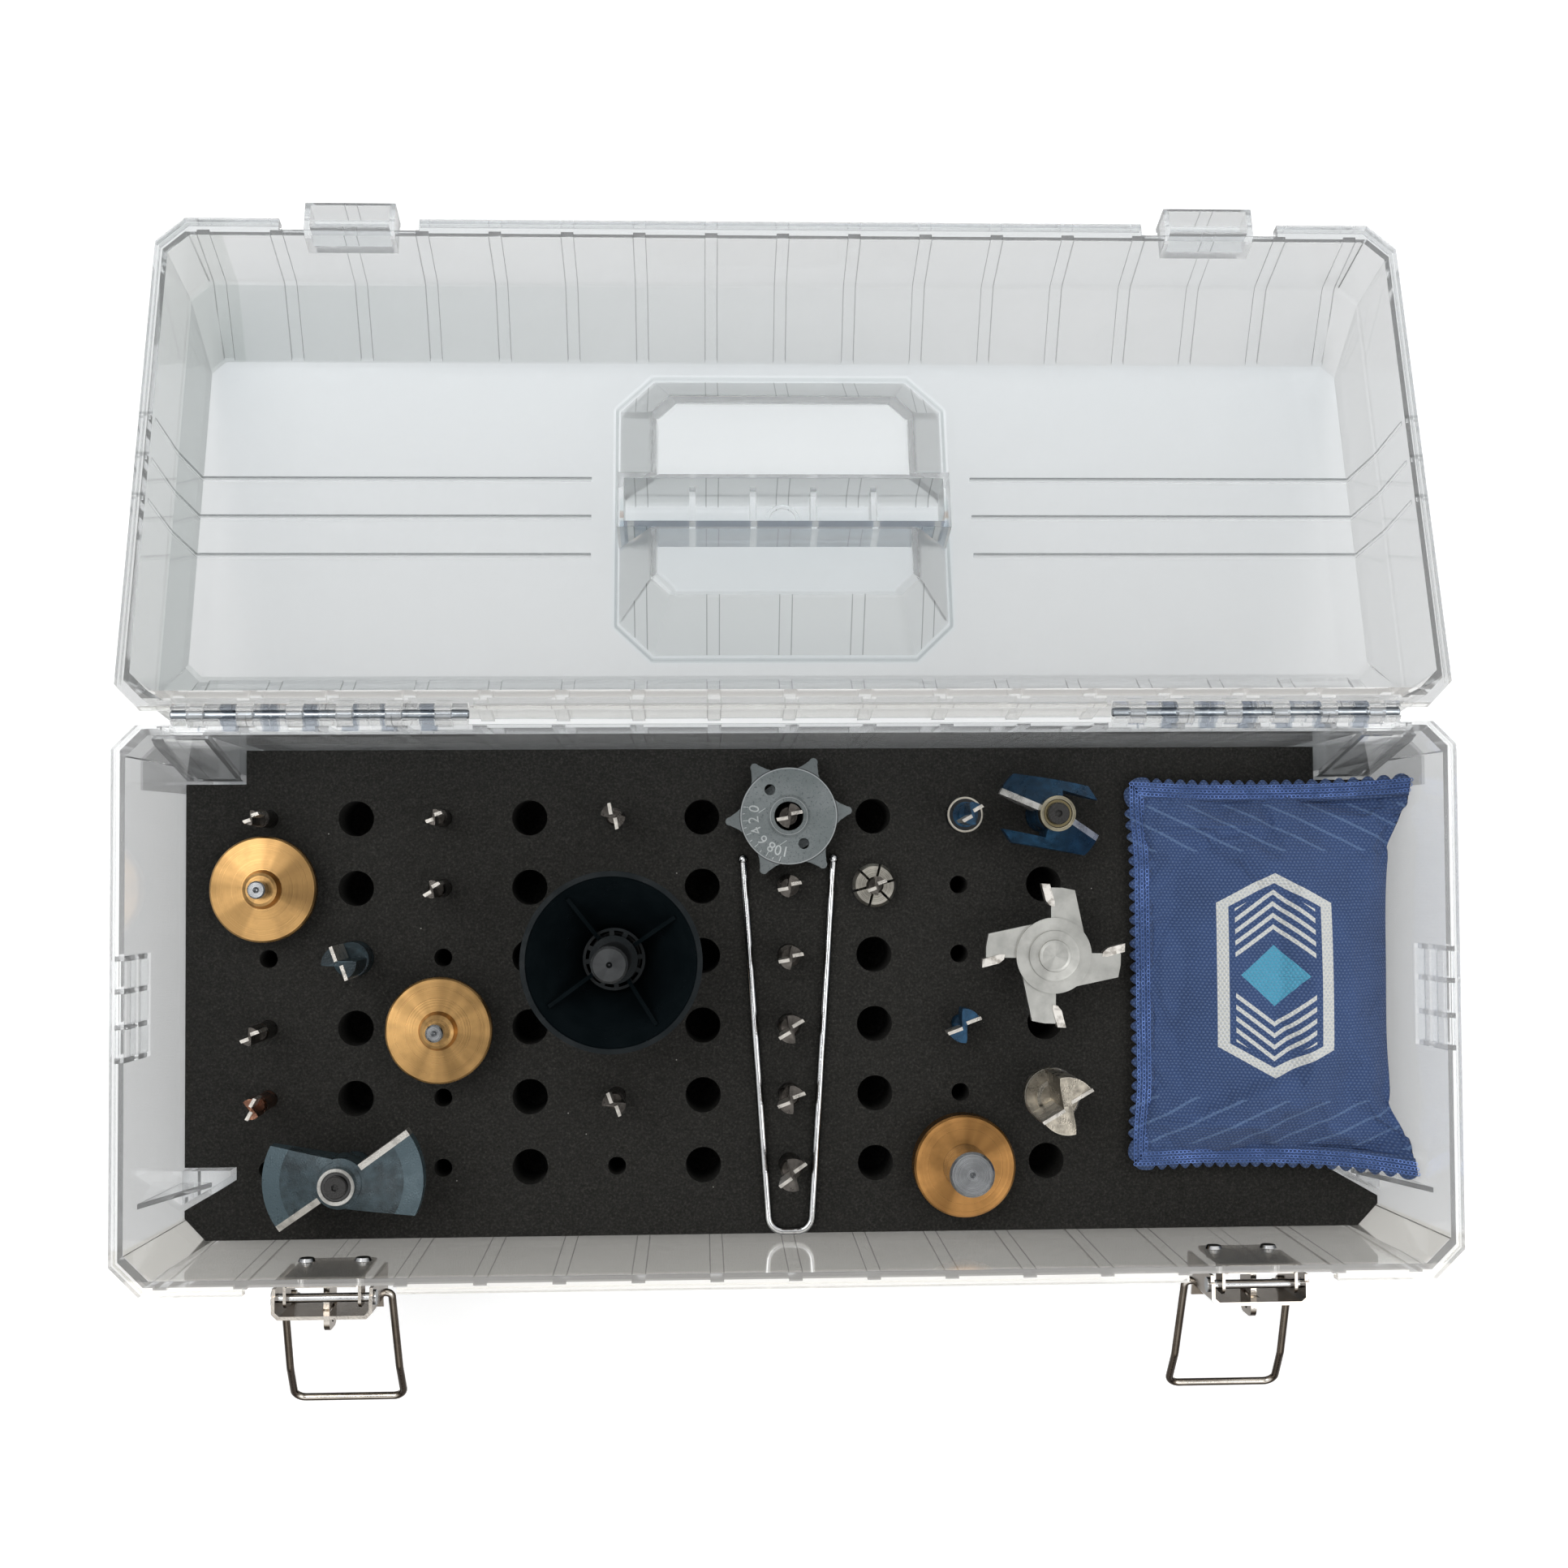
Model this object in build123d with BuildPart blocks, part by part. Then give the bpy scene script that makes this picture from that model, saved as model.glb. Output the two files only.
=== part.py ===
from build123d import *
import math
import os

os.makedirs("parts", exist_ok=True)

# Router bit storage case: a clear moulded box with a hinged lid, a foam insert that holds
# the cutters upright, and two wire latches. Millimetres. The origin is the centre of the
# base's underside, +X to the right, +Y to the hinge side, +Z up. The lid stands open.

# Case
case_width = 457.2
case_depth = 190.5
base_height = 97.0
lid_height = 52.0
wall = 2.4
floor_thickness = 2.4
foot_chamfer = 1.6
corner_front = 10.0
corner_back = 8.0

# Rim flange and its turned lip
flange_side = 2.4
flange_front = 2.95
flange_back = 0.95
flange_thickness = 2.2
lip_thickness = 1.2
lip_height = 4.6

# Draft of the base walls, floor to rim
draft_side = 7.4
draft_front = 1.1
draft_back = 1.9

# Lid section, measured from its rim plane
lid_flange_front = 4.8
lid_flange_back = 3.2
lid_kink_depth = 29.3
lid_kink_in = 2.5
lid_kink_in_side = 2.0
lid_shoulder_front = 21.3
lid_shoulder_back = 21.9
lid_shoulder_side = 4.4
panel_corner = 5.0

# Wall ribs, on one pitch with the latches and the hinges
rib_pitch = 26.5
rib_width = 4.6
rib_proud = 0.8
rib_steps = 8
fitting_steps = 6
fitting_x = rib_pitch * fitting_steps

# Lid panel grooves
groove_pitch = 15.8
groove_width = 1.6
groove_depth = 0.8
groove_start = 72.0
groove_end = 5.0

# Handle recess and its hollow grip bar
recess_width = 125.0
recess_length = 116.7
recess_depth = 19.0
recess_corner = 13.5
recess_slope_x = 13.5
recess_slope_y = 18.0
grip_width = 22.2
grip_offset = 2.5
grip_round = 4.0
recess_round = 3.0
grip_rib_pitch = 22.6
grip_rib_thickness = 2.3
grip_ribs = 4
gate_radius = 6.5
gate_height = 1.6

# Hinges
hinge_offset = 3.3
rim_gap = 0.3
pin_radius = 1.5
pin_clearance = 0.05
knuckle_radius = 3.8
knuckle_pitch = 16.5
knuckle_count = 6
lid_knuckle_width = 5.3
clip_width = 5.0
clip_gap = 0.35
clip_slot = 2.9
notch_clearance = 0.45

# Latches
latch_gap = 51.0
plate_thickness = 1.0
plate_width = 26.0
plate_bottom = 57.0
plate_top = 93.0
ear_past_pin = 2.6
ear_height = 9.0
ear_round = 2.5
lever_pin_radius = 1.5
lever_pin_z = 88.0
lever_pin_out = 5.6
pin_head = 0.6
pin_head_round = 1.1
pin_head_gap = 0.1
lever_width = 33.7
lever_sheet = 1.2
lever_depth = 10.2
lever_bottom = 56.0
lever_top = 93.0
lever_lip = 4.0
lever_cut = 2.0
lever_back_gap = 0.6
lever_side_short = 1.2
running = 0.05
bail_wire = 2.7
bail_pivot_z = 62.0
bail_pivot_out = 9.6
bail_length = 49.3
bail_width = 42.0
bail_droop = 26.0
bail_kink = 13.0
bail_kink_at = 0.66
bail_bend = 4.0
bail_hook_bend = 2.0
bail_knee_bend = 6.0
bail_side_gap = 0.5
tab_reach = 18.0
tab_thickness = 2.0
tab_hole = 3.2
tab_hole_in = 5.2
tab_round = 3.5
tab_slot_gap = 0.6
tab_bottom = 70.0
tab_top = 84.0
rivet_spacing = 19.4
rivet_z = 68.0
rivet_radius = 1.6
rivet_head = 3.0
rivet_head_height = 1.1

# Catch lugs on the lid
lug_width = 33.0
lug_reach = 11.8
lug_height = 12.0
lug_wall = 2.0
lug_lip = 1.6

# Foam insert and its sockets
foam_height = 35.5
foam_side_gap = 0.9
foam_front_gap = 1.6
foam_back_gap = 1.1
foam_floor = 6.0
column_pitch = 31.5
row_pitch = 25.4
first_column_x = -188.4
first_row_y = 64.6
half_inch_socket = 6.45
quarter_inch_socket = 3.28
eight_mm_socket = 4.1
half_inch = 6.35
quarter_inch = 3.175
eight_mm = 4.0

# Corner pockets and end gussets that key the foam
pocket_width = 18.6
pocket_depth = 11.5
gusset_y = -69.0
gusset_width = 13.0
gusset_reach = 15.5
key_gap = 1.2

# Worked out from the driving sizes
half_w = case_width / 2
half_d = case_depth / 2
inner_x_rim = half_w - flange_side - wall
inner_front_rim = -half_d + flange_front + wall
inner_back_rim = half_d - flange_back - wall
inner_x_floor = inner_x_rim - draft_side
inner_front_floor = inner_front_rim + draft_front
inner_back_floor = inner_back_rim - draft_back
hinge_y = half_d + hinge_offset
hinge_z = base_height + rim_gap / 2
foam_bottom = floor_thickness + 0.1
foam_top = foam_bottom + foam_height
socket_bottom = foam_bottom + foam_floor


def drafted(low, high, z):
    """A base wall's distance at height z, between its floor value and its rim value."""
    share = (z - floor_thickness) / (base_height - floor_thickness)
    return low + (high - low) * share


def octagon(half_x, front, back, cut_front, cut_back):
    """The case's plan outline: a rectangle with its four corners cut off."""
    return Polygon(
        (-half_x, front + cut_front), (-half_x + cut_front, front),
        (half_x - cut_front, front), (half_x, front + cut_front),
        (half_x, back - cut_back), (half_x - cut_back, back),
        (-half_x + cut_back, back), (-half_x, back - cut_back), align=None)


def column_x(column):
    return first_column_x + column * column_pitch


def row_y(row):
    return first_row_y - row * row_pitch


# The open lid leans back until its panel's front edge meets the surface the base stands on.
shoulder_rib = rib_proud * math.sqrt(2)
panel_front_u = case_depth - lid_flange_front - lid_kink_in - lid_shoulder_front + shoulder_rib
edge_y = panel_front_u + hinge_offset
edge_v = lid_height + rim_gap / 2
edge_radius = math.hypot(edge_y, edge_v)
open_extra = math.degrees(math.atan2(edge_y, edge_v) - math.acos((hinge_z - 0.2) / edge_radius))
lean = math.radians(open_extra)
lid_plane = Plane(origin=(0, hinge_y, hinge_z), x_dir=(1, 0, 0), z_dir=(0, math.sin(lean), math.cos(lean)))

ring_places = [(i - (knuckle_count - 1) / 2) * knuckle_pitch for i in range(knuckle_count)]
clip_step = lid_knuckle_width / 2 + clip_gap + clip_width / 2
clip_places = [x + side * clip_step for x in ring_places for side in (-1, 1)]
hinge_length = 2 * (clip_places[-1] + clip_width / 2) + 1.0

rib_places = [k * rib_pitch for k in range(-rib_steps, rib_steps + 1)]


# Base shell
def base_section(z, grow):
    """Outline of the base's wall at height z, grown outwards from its inner face."""
    return octagon(
        drafted(inner_x_floor, inner_x_rim, z) + grow,
        drafted(inner_front_floor, inner_front_rim, z) - grow,
        drafted(inner_back_floor, inner_back_rim, z) + grow,
        corner_front - 1.5, corner_back - 0.6)


wall_front = {z: drafted(inner_front_floor, inner_front_rim, z) - wall for z in (0, rivet_z, base_height)}
wall_back = {z: drafted(inner_back_floor, inner_back_rim, z) + wall for z in (0, base_height)}

with BuildPart() as base_shell:
    with BuildSketch(Plane.XY):
        base_section(0, wall - foot_chamfer)
    with BuildSketch(Plane.XY.offset(foot_chamfer)):
        base_section(foot_chamfer, wall)
    with BuildSketch(Plane.XY.offset(base_height)):
        base_section(base_height, wall)
    loft(ruled=True)
    # rim flange with its turned lip
    with BuildSketch(Plane.XY.offset(base_height)):
        octagon(half_w, -half_d, half_d, corner_front, corner_back)
    extrude(amount=-flange_thickness)
    with BuildSketch(Plane.XY.offset(base_height)):
        octagon(half_w, -half_d, half_d, corner_front, corner_back)
        offset(amount=-lip_thickness, mode=Mode.SUBTRACT)
    extrude(amount=-lip_height)
    # the lip and flange stop at the latches, and the lip stops at the hinges
    with Locations(*[(side * fitting_x, -half_d, base_height) for side in (-1, 1)]):
        Box(latch_gap, 2 * flange_front, 3 * lip_height, mode=Mode.SUBTRACT)
    lip_z = base_height - flange_thickness - lip_height
    with Locations(*[(side * fitting_x, half_d, lip_z) for side in (-1, 1)]):
        Box(hinge_length + 2, 4 * lip_thickness, 2 * lip_height, mode=Mode.SUBTRACT)
    # wall ribs run from the floor to the flange, in step with each other front and back
    with BuildPart(mode=Mode.PRIVATE) as base_ribs:
        for x in rib_places:
            behind_latch = abs(abs(x) - fitting_x) < 1
            front_rib = 0 if behind_latch else rib_proud
            with BuildSketch(Plane.YZ.offset(x)):
                Polygon(
                    (wall_front[0] - front_rib, foot_chamfer),
                    (wall_front[base_height] - front_rib, base_height - 1),
                    (wall_back[base_height] + rib_proud, base_height - 1),
                    (wall_back[0] + rib_proud, foot_chamfer), align=None)
            extrude(amount=rib_width / 2, both=True)
    add(base_ribs.part)
    # end grips: a ladder of rungs below the rim
    for side in (-1, 1):
        with Locations(*[(side * (inner_x_rim + wall - 0.6), y, base_height - 15) for y in (-17, -6, 6, 17)]):
            Box(3.4, 1.8, 26)
        with Locations(*[(side * (inner_x_rim + wall - 0.6), 0, base_height - z) for z in (4, 15, 27)]):
            Box(3.4, 35.8, 1.8)
    # hollow inside
    with BuildSketch(Plane.XY.offset(floor_thickness)):
        base_section(floor_thickness, 0)
    with BuildSketch(Plane.XY.offset(base_height)):
        base_section(base_height, 0)
    loft(ruled=True, mode=Mode.SUBTRACT)
    # back corner pockets, pressed in from outside
    pocket_front = inner_back_floor - pocket_depth
    pocket_x = inner_x_floor - pocket_width
    for side in (-1, 1):
        with BuildSketch(Plane.YZ.offset(side * pocket_x)):
            Polygon(
                (inner_back_floor + 1.2, floor_thickness - 0.4), (pocket_front, floor_thickness - 0.4),
                (pocket_front, foam_top), (inner_back_rim - 1, base_height - 6),
                (inner_back_rim + 1.2, base_height - 6), align=None)
        extrude(amount=side * (pocket_width + 1.5))
        with BuildSketch(Plane.YZ.offset(side * (pocket_x + wall))):
            Polygon(
                (inner_back_floor + 9, floor_thickness + wall), (pocket_front + wall, floor_thickness + wall),
                (pocket_front + wall, foam_top), (inner_back_rim - 2 + wall, base_height - 12),
                (inner_back_rim + 9, base_height - 12), align=None)
        extrude(amount=side * (pocket_width - 2 * wall), mode=Mode.SUBTRACT)
    # end gussets near the front corners
    for side in (-1, 1):
        root = side * (inner_x_floor + 1)
        tip = side * (inner_x_floor - gusset_reach + 1)
        with BuildSketch(Plane.XY.offset(floor_thickness - 0.4)):
            Polygon(
                (root, gusset_y - gusset_width / 2), (tip, gusset_y + gusset_width / 2 - 2),
                (tip, gusset_y + gusset_width / 2), (root, gusset_y + gusset_width / 2), align=None)
        with BuildSketch(Plane.XY.offset(foam_top)):
            Polygon(
                (root + side * 3, gusset_y - gusset_width / 2), (tip, gusset_y + gusset_width / 2 - 2),
                (tip, gusset_y + gusset_width / 2), (root + side * 3, gusset_y + gusset_width / 2), align=None)
        loft(ruled=True)
        with BuildSketch(Plane.XZ.offset(-gusset_y - 2.5)):
            Polygon(
                (tip + side * 6, foam_top - 2), (root + side * 3, foam_top - 2),
                (side * (inner_x_rim + 0.6), base_height - 8), align=None)
        extrude(amount=1.8)
    # hinge clips: saddles that hold the pins, on webs from the back wall
    for side in (-1, 1):
        with Locations(*[(side * fitting_x + x, hinge_y, hinge_z) for x in clip_places]):
            Cylinder(knuckle_radius, clip_width, rotation=(0, 90, 0))
        with Locations(*[(side * fitting_x + x, hinge_y - 2.4, hinge_z - 2.65) for x in clip_places]):
            Box(clip_width, 4.8, 2.3)
        with Locations((side * fitting_x, hinge_y, hinge_z)):
            Cylinder(pin_radius + pin_clearance, hinge_length + 4, rotation=(0, 90, 0), mode=Mode.SUBTRACT)
        with Locations((side * fitting_x, hinge_y, hinge_z + knuckle_radius / 2 + 0.2)):
            Box(hinge_length + 4, clip_slot, knuckle_radius + 0.4, mode=Mode.SUBTRACT)
        with Locations(*[(side * fitting_x + x, hinge_y, hinge_z) for x in ring_places]):
            Cylinder(
                knuckle_radius + notch_clearance, lid_knuckle_width + 2 * clip_gap,
                rotation=(0, 90, 0), mode=Mode.SUBTRACT)
    # rivet holes
    with Locations(*[(side * fitting_x + x, wall_front[rivet_z], rivet_z)
                     for side in (-1, 1) for x in (-rivet_spacing / 2, rivet_spacing / 2)]):
        Cylinder(rivet_radius + running, 4 * wall, rotation=(90, 0, 0), mode=Mode.SUBTRACT)

base_shell.part.label = "base_shell"
export_step(base_shell.part, "parts/base_shell.step")


# Lid shell, drawn in the plane of the hinge axis: x across, y from the hinge, z out of the lid
rim_z = -rim_gap / 2
lid_back = hinge_offset
lid_front = hinge_offset + case_depth
lid_steps = {
    "rim": (0.0, inner_x_rim, lid_front - lid_flange_front - wall, lid_back + lid_flange_back + wall,
            corner_front - 2.5, corner_back - 1.5),
}
lid_steps["kink"] = (
    lid_kink_depth, inner_x_rim - lid_kink_in_side, lid_steps["rim"][2] - lid_kink_in,
    lid_steps["rim"][3] + lid_kink_in, corner_front - 3, corner_back - 1)
lid_steps["panel"] = (
    lid_height - wall, inner_x_rim - lid_kink_in_side - lid_shoulder_side,
    lid_steps["kink"][2] - lid_shoulder_front, lid_steps["kink"][3] + lid_shoulder_back,
    panel_corner, panel_corner)


def lid_section(step, grow):
    """Outline of the lid's wall at one of its steps, grown outwards from its inner face."""
    depth, half_x, front, back, cut_front, cut_back = lid_steps[step]
    return octagon(half_x + grow, back - grow, front + grow, cut_back, cut_front)


def at_depth(depth):
    return lid_plane.offset(rim_z - depth)


recess_y = (lid_steps["panel"][2] + lid_steps["panel"][3]) / 2
grip_y = recess_y - grip_offset
lid_side_plane = Plane(origin=lid_plane.origin, x_dir=lid_plane.y_dir, z_dir=lid_plane.x_dir)
lid_up = Axis((0, 0, 0), tuple(lid_plane.z_dir))
lid_end_plane = Plane(origin=lid_plane.origin, x_dir=lid_plane.x_dir, z_dir=-lid_plane.y_dir)


def recess_outline(grow, slope):
    """Outline of the handle recess at a share of its slope, 0 at the panel and 1 at its floor."""
    half_x = recess_width / 2 - recess_slope_x * slope + grow
    half_y = recess_length / 2 - recess_slope_y * slope + grow
    cut = recess_corner * (1 - 0.5 * slope)
    return octagon(half_x, recess_y - half_y, recess_y + half_y, cut, cut)


with BuildPart() as lid_shell:
    with BuildSketch(at_depth(0)):
        lid_section("rim", wall)
    with BuildSketch(at_depth(lid_kink_depth)):
        lid_section("kink", wall)
    with BuildSketch(at_depth(lid_height)):
        lid_section("panel", wall)
    loft(ruled=True)
    with BuildSketch(at_depth(0)):
        octagon(half_w, lid_back, lid_front, corner_back, corner_front)
    extrude(amount=-flange_thickness)
    with BuildSketch(at_depth(0)):
        octagon(half_w, lid_back, lid_front, corner_back, corner_front)
        offset(amount=-lip_thickness, mode=Mode.SUBTRACT)
    extrude(amount=-lip_height)
    for side in (-1, 1):
        with BuildSketch(at_depth(-1)):
            with Locations((side * fitting_x, lid_front)):
                Rectangle(latch_gap, 2 * lid_flange_front)
        extrude(amount=-3 * lip_height, mode=Mode.SUBTRACT)
        with BuildSketch(at_depth(flange_thickness)):
            with Locations((side * fitting_x, lid_back)):
                Rectangle(hinge_length + 2, 4 * lip_thickness)
        extrude(amount=-lip_height, mode=Mode.SUBTRACT)
    # ribs on the front and back walls, over the shoulder to the panel
    rim, kink, panel = lid_steps["rim"], lid_steps["kink"], lid_steps["panel"]
    with BuildPart(mode=Mode.PRIVATE) as lid_ribs:
        for x in rib_places:
            behind_lug = abs(abs(x) - fitting_x) < 1
            front_rib = 0 if behind_lug else rib_proud
            with BuildSketch(lid_side_plane.offset(x)):
                Polygon(
                    (rim[3] - wall - rib_proud, rim_z - 1), (kink[3] - wall - rib_proud, rim_z - kink[0]),
                    (panel[3] - wall - shoulder_rib, rim_z - lid_height),
                    (panel[2] + wall + shoulder_rib, rim_z - lid_height),
                    (kink[2] + wall + front_rib, rim_z - kink[0]), (rim[2] + wall + front_rib, rim_z - 1),
                    align=None)
            extrude(amount=rib_width / 2, both=True)
    add(lid_ribs.part)
    # hollow inside
    with BuildSketch(at_depth(0)):
        lid_section("rim", 0)
    with BuildSketch(at_depth(lid_kink_depth)):
        lid_section("kink", 0)
    with BuildSketch(at_depth(lid_height - wall)):
        lid_section("panel", 0)
    loft(ruled=True, mode=Mode.SUBTRACT)
    # three grooves each side of the recess, across the panel and down the end walls
    with BuildPart(mode=Mode.PRIVATE) as grooves:
        for side in (-1, 1):
            for step in (-1, 0, 1):
                groove_y = recess_y + step * groove_pitch
                with BuildSketch(lid_end_plane.offset(-groove_y)):
                    Polygon(
                        (side * groove_start, rim_z - lid_height - 1),
                        (side * (panel[1] + wall + 2), rim_z - lid_height - 1),
                        (side * (kink[1] + wall + 2), rim_z - kink[0]),
                        (side * (rim[1] + wall + 2), rim_z - groove_end),
                        (side * (rim[1] + wall - groove_depth), rim_z - groove_end),
                        (side * (kink[1] + wall - groove_depth), rim_z - kink[0]),
                        (side * (panel[1] + wall - groove_depth), rim_z - lid_height + groove_depth),
                        (side * groove_start, rim_z - lid_height + groove_depth), align=None)
                extrude(amount=groove_width / 2, both=True)
    add(grooves.part, mode=Mode.SUBTRACT)
    # handle recess: a boss inside, two finger pockets outside, and the hollow grip between them
    grip_middle = rim_z - lid_height + recess_depth / 2 + 4
    with BuildPart(mode=Mode.PRIVATE) as boss:
        with BuildSketch(at_depth(lid_height - 0.5)):
            recess_outline(0, 0)
        with BuildSketch(at_depth(lid_height - recess_depth - wall)):
            recess_outline(0, 1)
        loft(ruled=True)
        fillet(boss.faces().sort_by(lid_up)[-1].edges(), recess_round + wall / 2)
        with BuildSketch(at_depth(lid_height - 0.5)):
            with Locations((0, grip_y)):
                Rectangle(recess_width - 2, grip_width)
        extrude(amount=recess_depth + wall - 0.5)
    add(boss.part)
    with BuildPart(mode=Mode.PRIVATE) as pockets:
        with BuildSketch(at_depth(lid_height + 0.5)):
            recess_outline(-wall, 0)
        with BuildSketch(at_depth(lid_height - recess_depth)):
            recess_outline(-wall, 1)
        loft(ruled=True)
        fillet(pockets.faces().sort_by(lid_up)[-1].edges(), recess_round)
        with BuildSketch(lid_side_plane):
            with Locations((grip_y, grip_middle)):
                RectangleRounded(grip_width, recess_depth + 8, grip_round)
        extrude(amount=recess_width, both=True, mode=Mode.SUBTRACT)
    add(pockets.part, mode=Mode.SUBTRACT)
    with BuildPart(mode=Mode.PRIVATE) as channel:
        with BuildSketch(lid_side_plane):
            with Locations((grip_y, grip_middle + wall)):
                RectangleRounded(grip_width - 2 * wall, recess_depth + 8, grip_round + 1.4)
        extrude(amount=recess_width / 2 - 1 - wall, both=True)
        for i in range(grip_ribs):
            with BuildSketch(at_depth(lid_height)):
                with Locations(((i - (grip_ribs - 1) / 2) * grip_rib_pitch, grip_y)):
                    Rectangle(grip_rib_thickness, grip_width)
            extrude(amount=recess_depth * 0.72, mode=Mode.SUBTRACT)
        with BuildSketch(at_depth(lid_height)):
            with Locations((0, grip_y)):
                Circle(gate_radius)
                Circle(gate_radius - 1.4, mode=Mode.SUBTRACT)
        extrude(amount=wall + gate_height, mode=Mode.SUBTRACT)
    add(channel.part, mode=Mode.SUBTRACT)
    # catch lugs, hollow from the rim side, with a lip that holds the bail
    for side in (-1, 1):
        lug_y = lid_steps["rim"][2] + wall
        with BuildSketch(at_depth(0.5)):
            with Locations((side * fitting_x, lug_y + lug_reach / 2 - 0.8)):
                Rectangle(lug_width, lug_reach + 1.6)
        extrude(amount=-(lug_height - 0.5))
        with BuildSketch(at_depth(lug_height)):
            with Locations((side * fitting_x, lug_y + lug_reach - lug_lip / 2)):
                Rectangle(lug_width, lug_lip)
        extrude(amount=-lug_lip)
        with BuildSketch(at_depth(0.5)):
            with Locations((side * fitting_x, lug_y + lug_reach / 2 + lug_wall / 2 - 0.6)):
                Rectangle(lug_width - 2 * lug_wall, lug_reach - 2 * lug_wall + 1)
        extrude(amount=-(lug_height - 0.5 - lug_wall), mode=Mode.SUBTRACT)
    # hinge rings on short arms, and notches that clear the base's clips
    for side in (-1, 1):
        with Locations(*[lid_plane * Location((side * fitting_x + x, 0, 0)) for x in clip_places]):
            Cylinder(
                knuckle_radius + notch_clearance, clip_width + 2 * clip_gap - 0.1,
                rotation=(0, 90, 0), mode=Mode.SUBTRACT)
        with Locations(*[lid_plane * Location((side * fitting_x + x, 0, 0)) for x in ring_places]):
            Cylinder(knuckle_radius, lid_knuckle_width, rotation=(0, 90, 0))
        with Locations(*[lid_plane * Location((side * fitting_x + x, 2.9, rim_z - 1.7)) for x in ring_places]):
            Box(lid_knuckle_width, 5.8, 3.4)
        with Locations(lid_plane * Location((side * fitting_x, 0, 0))):
            Cylinder(pin_radius + pin_clearance, hinge_length + 4, rotation=(0, 90, 0), mode=Mode.SUBTRACT)

lid_shell.part.label = "lid_shell"
export_step(lid_shell.part, "parts/lid_shell.step")

# Hinge pins
for side, name in ((-1, "hinge_pin_left"), (1, "hinge_pin_right")):
    with BuildPart() as hinge_pin:
        with Locations((side * fitting_x, hinge_y, hinge_z)):
            Cylinder(pin_radius, hinge_length, rotation=(0, 90, 0))
        chamfer(hinge_pin.edges().filter_by(GeomType.CIRCLE), 0.3)
    hinge_pin.part.label = name
    export_step(hinge_pin.part, f"parts/{name}.step")

# Latches, one on each side of the front wall
wall_y = wall_front[base_height]
plate_y = wall_y - 0.15
lever_pin_y = wall_y - lever_pin_out
lever_front_y = lever_pin_y - 0.62 * lever_depth
bail_pivot_y = wall_y - bail_pivot_out
slot_bottom = lever_pin_z - 23.0
slot_top = tab_top + 2.0
ear_reach = lever_pin_out + ear_past_pin


def latch_plate(x):
    """Mounting plate on the wall, with two ears for the lever's pin and a padlock tab."""
    with BuildPart() as plate:
        with BuildSketch(Plane.XZ.offset(-plate_y)):
            with Locations((x, (plate_bottom + plate_top) / 2)):
                RectangleRounded(plate_width, plate_top - plate_bottom, 2.0)
        extrude(amount=plate_thickness)
        for side in (-1, 1):
            with BuildSketch(Plane.YZ.offset(x + side * (plate_width / 2 - plate_thickness / 2))):
                with Locations((plate_y - ear_reach / 2, lever_pin_z)):
                    RectangleRounded(ear_reach, ear_height, ear_round)
                with Locations((plate_y - ear_reach / 4, lever_pin_z)):
                    Rectangle(ear_reach / 2, ear_height)
            extrude(amount=plate_thickness / 2, both=True)
        with BuildSketch(Plane.YZ.offset(x)):
            with Locations((plate_y - tab_reach / 2, (tab_bottom + tab_top) / 2)):
                RectangleRounded(tab_reach, tab_top - tab_bottom, tab_round)
            with Locations((plate_y - tab_reach / 4, (tab_bottom + tab_top) / 2)):
                Rectangle(tab_reach / 2, tab_top - tab_bottom)
            with Locations((plate_y - tab_reach + tab_hole_in, (tab_bottom + tab_top) / 2)):
                Circle(tab_hole, mode=Mode.SUBTRACT)
        extrude(amount=tab_thickness / 2, both=True)
        with Locations((x, lever_pin_y, lever_pin_z)):
            Cylinder(lever_pin_radius + running, plate_width + 4, rotation=(0, 90, 0), mode=Mode.SUBTRACT)
        with Locations(*[(x + dx, plate_y, rivet_z) for dx in (-rivet_spacing / 2, rivet_spacing / 2)]):
            Cylinder(rivet_radius + running, 6, rotation=(90, 0, 0), mode=Mode.SUBTRACT)
    return plate.part


def latch_rivets(x):
    """Two rivets through the plate and the wall, peened over inside."""
    inside_y = drafted(inner_front_floor, inner_front_rim, rivet_z - rivet_head) + 0.08
    outside_y = plate_y - plate_thickness
    with BuildPart() as rivets:
        for dx in (-rivet_spacing / 2, rivet_spacing / 2):
            with BuildSketch(Plane.XZ.offset(-inside_y)):
                with Locations((x + dx, rivet_z)):
                    Circle(rivet_radius)
            extrude(amount=inside_y - outside_y)
            with BuildSketch(Plane.XZ.offset(-inside_y)):
                with Locations((x + dx, rivet_z)):
                    Circle(rivet_head)
            extrude(amount=-rivet_head_height, taper=25)
            with BuildSketch(Plane.XZ.offset(-outside_y)):
                with Locations((x + dx, rivet_z)):
                    Circle(rivet_head)
            extrude(amount=rivet_head_height, taper=20)
    return rivets.part


def lever_pin(x):
    """The lever's pivot pin, with a head outside each side plate."""
    half = lever_width / 2
    with BuildPart() as pin:
        with BuildSketch(Plane.YZ.offset(x)):
            with Locations((lever_pin_y, lever_pin_z)):
                Circle(lever_pin_radius)
        extrude(amount=half + pin_head_gap + 0.1, both=True)
        for side in (-1, 1):
            with BuildSketch(Plane.YZ.offset(x + side * (half + pin_head_gap))):
                with Locations((lever_pin_y, lever_pin_z)):
                    Circle(lever_pin_radius + pin_head_round)
            extrude(amount=side * pin_head)
    return pin.part


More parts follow.
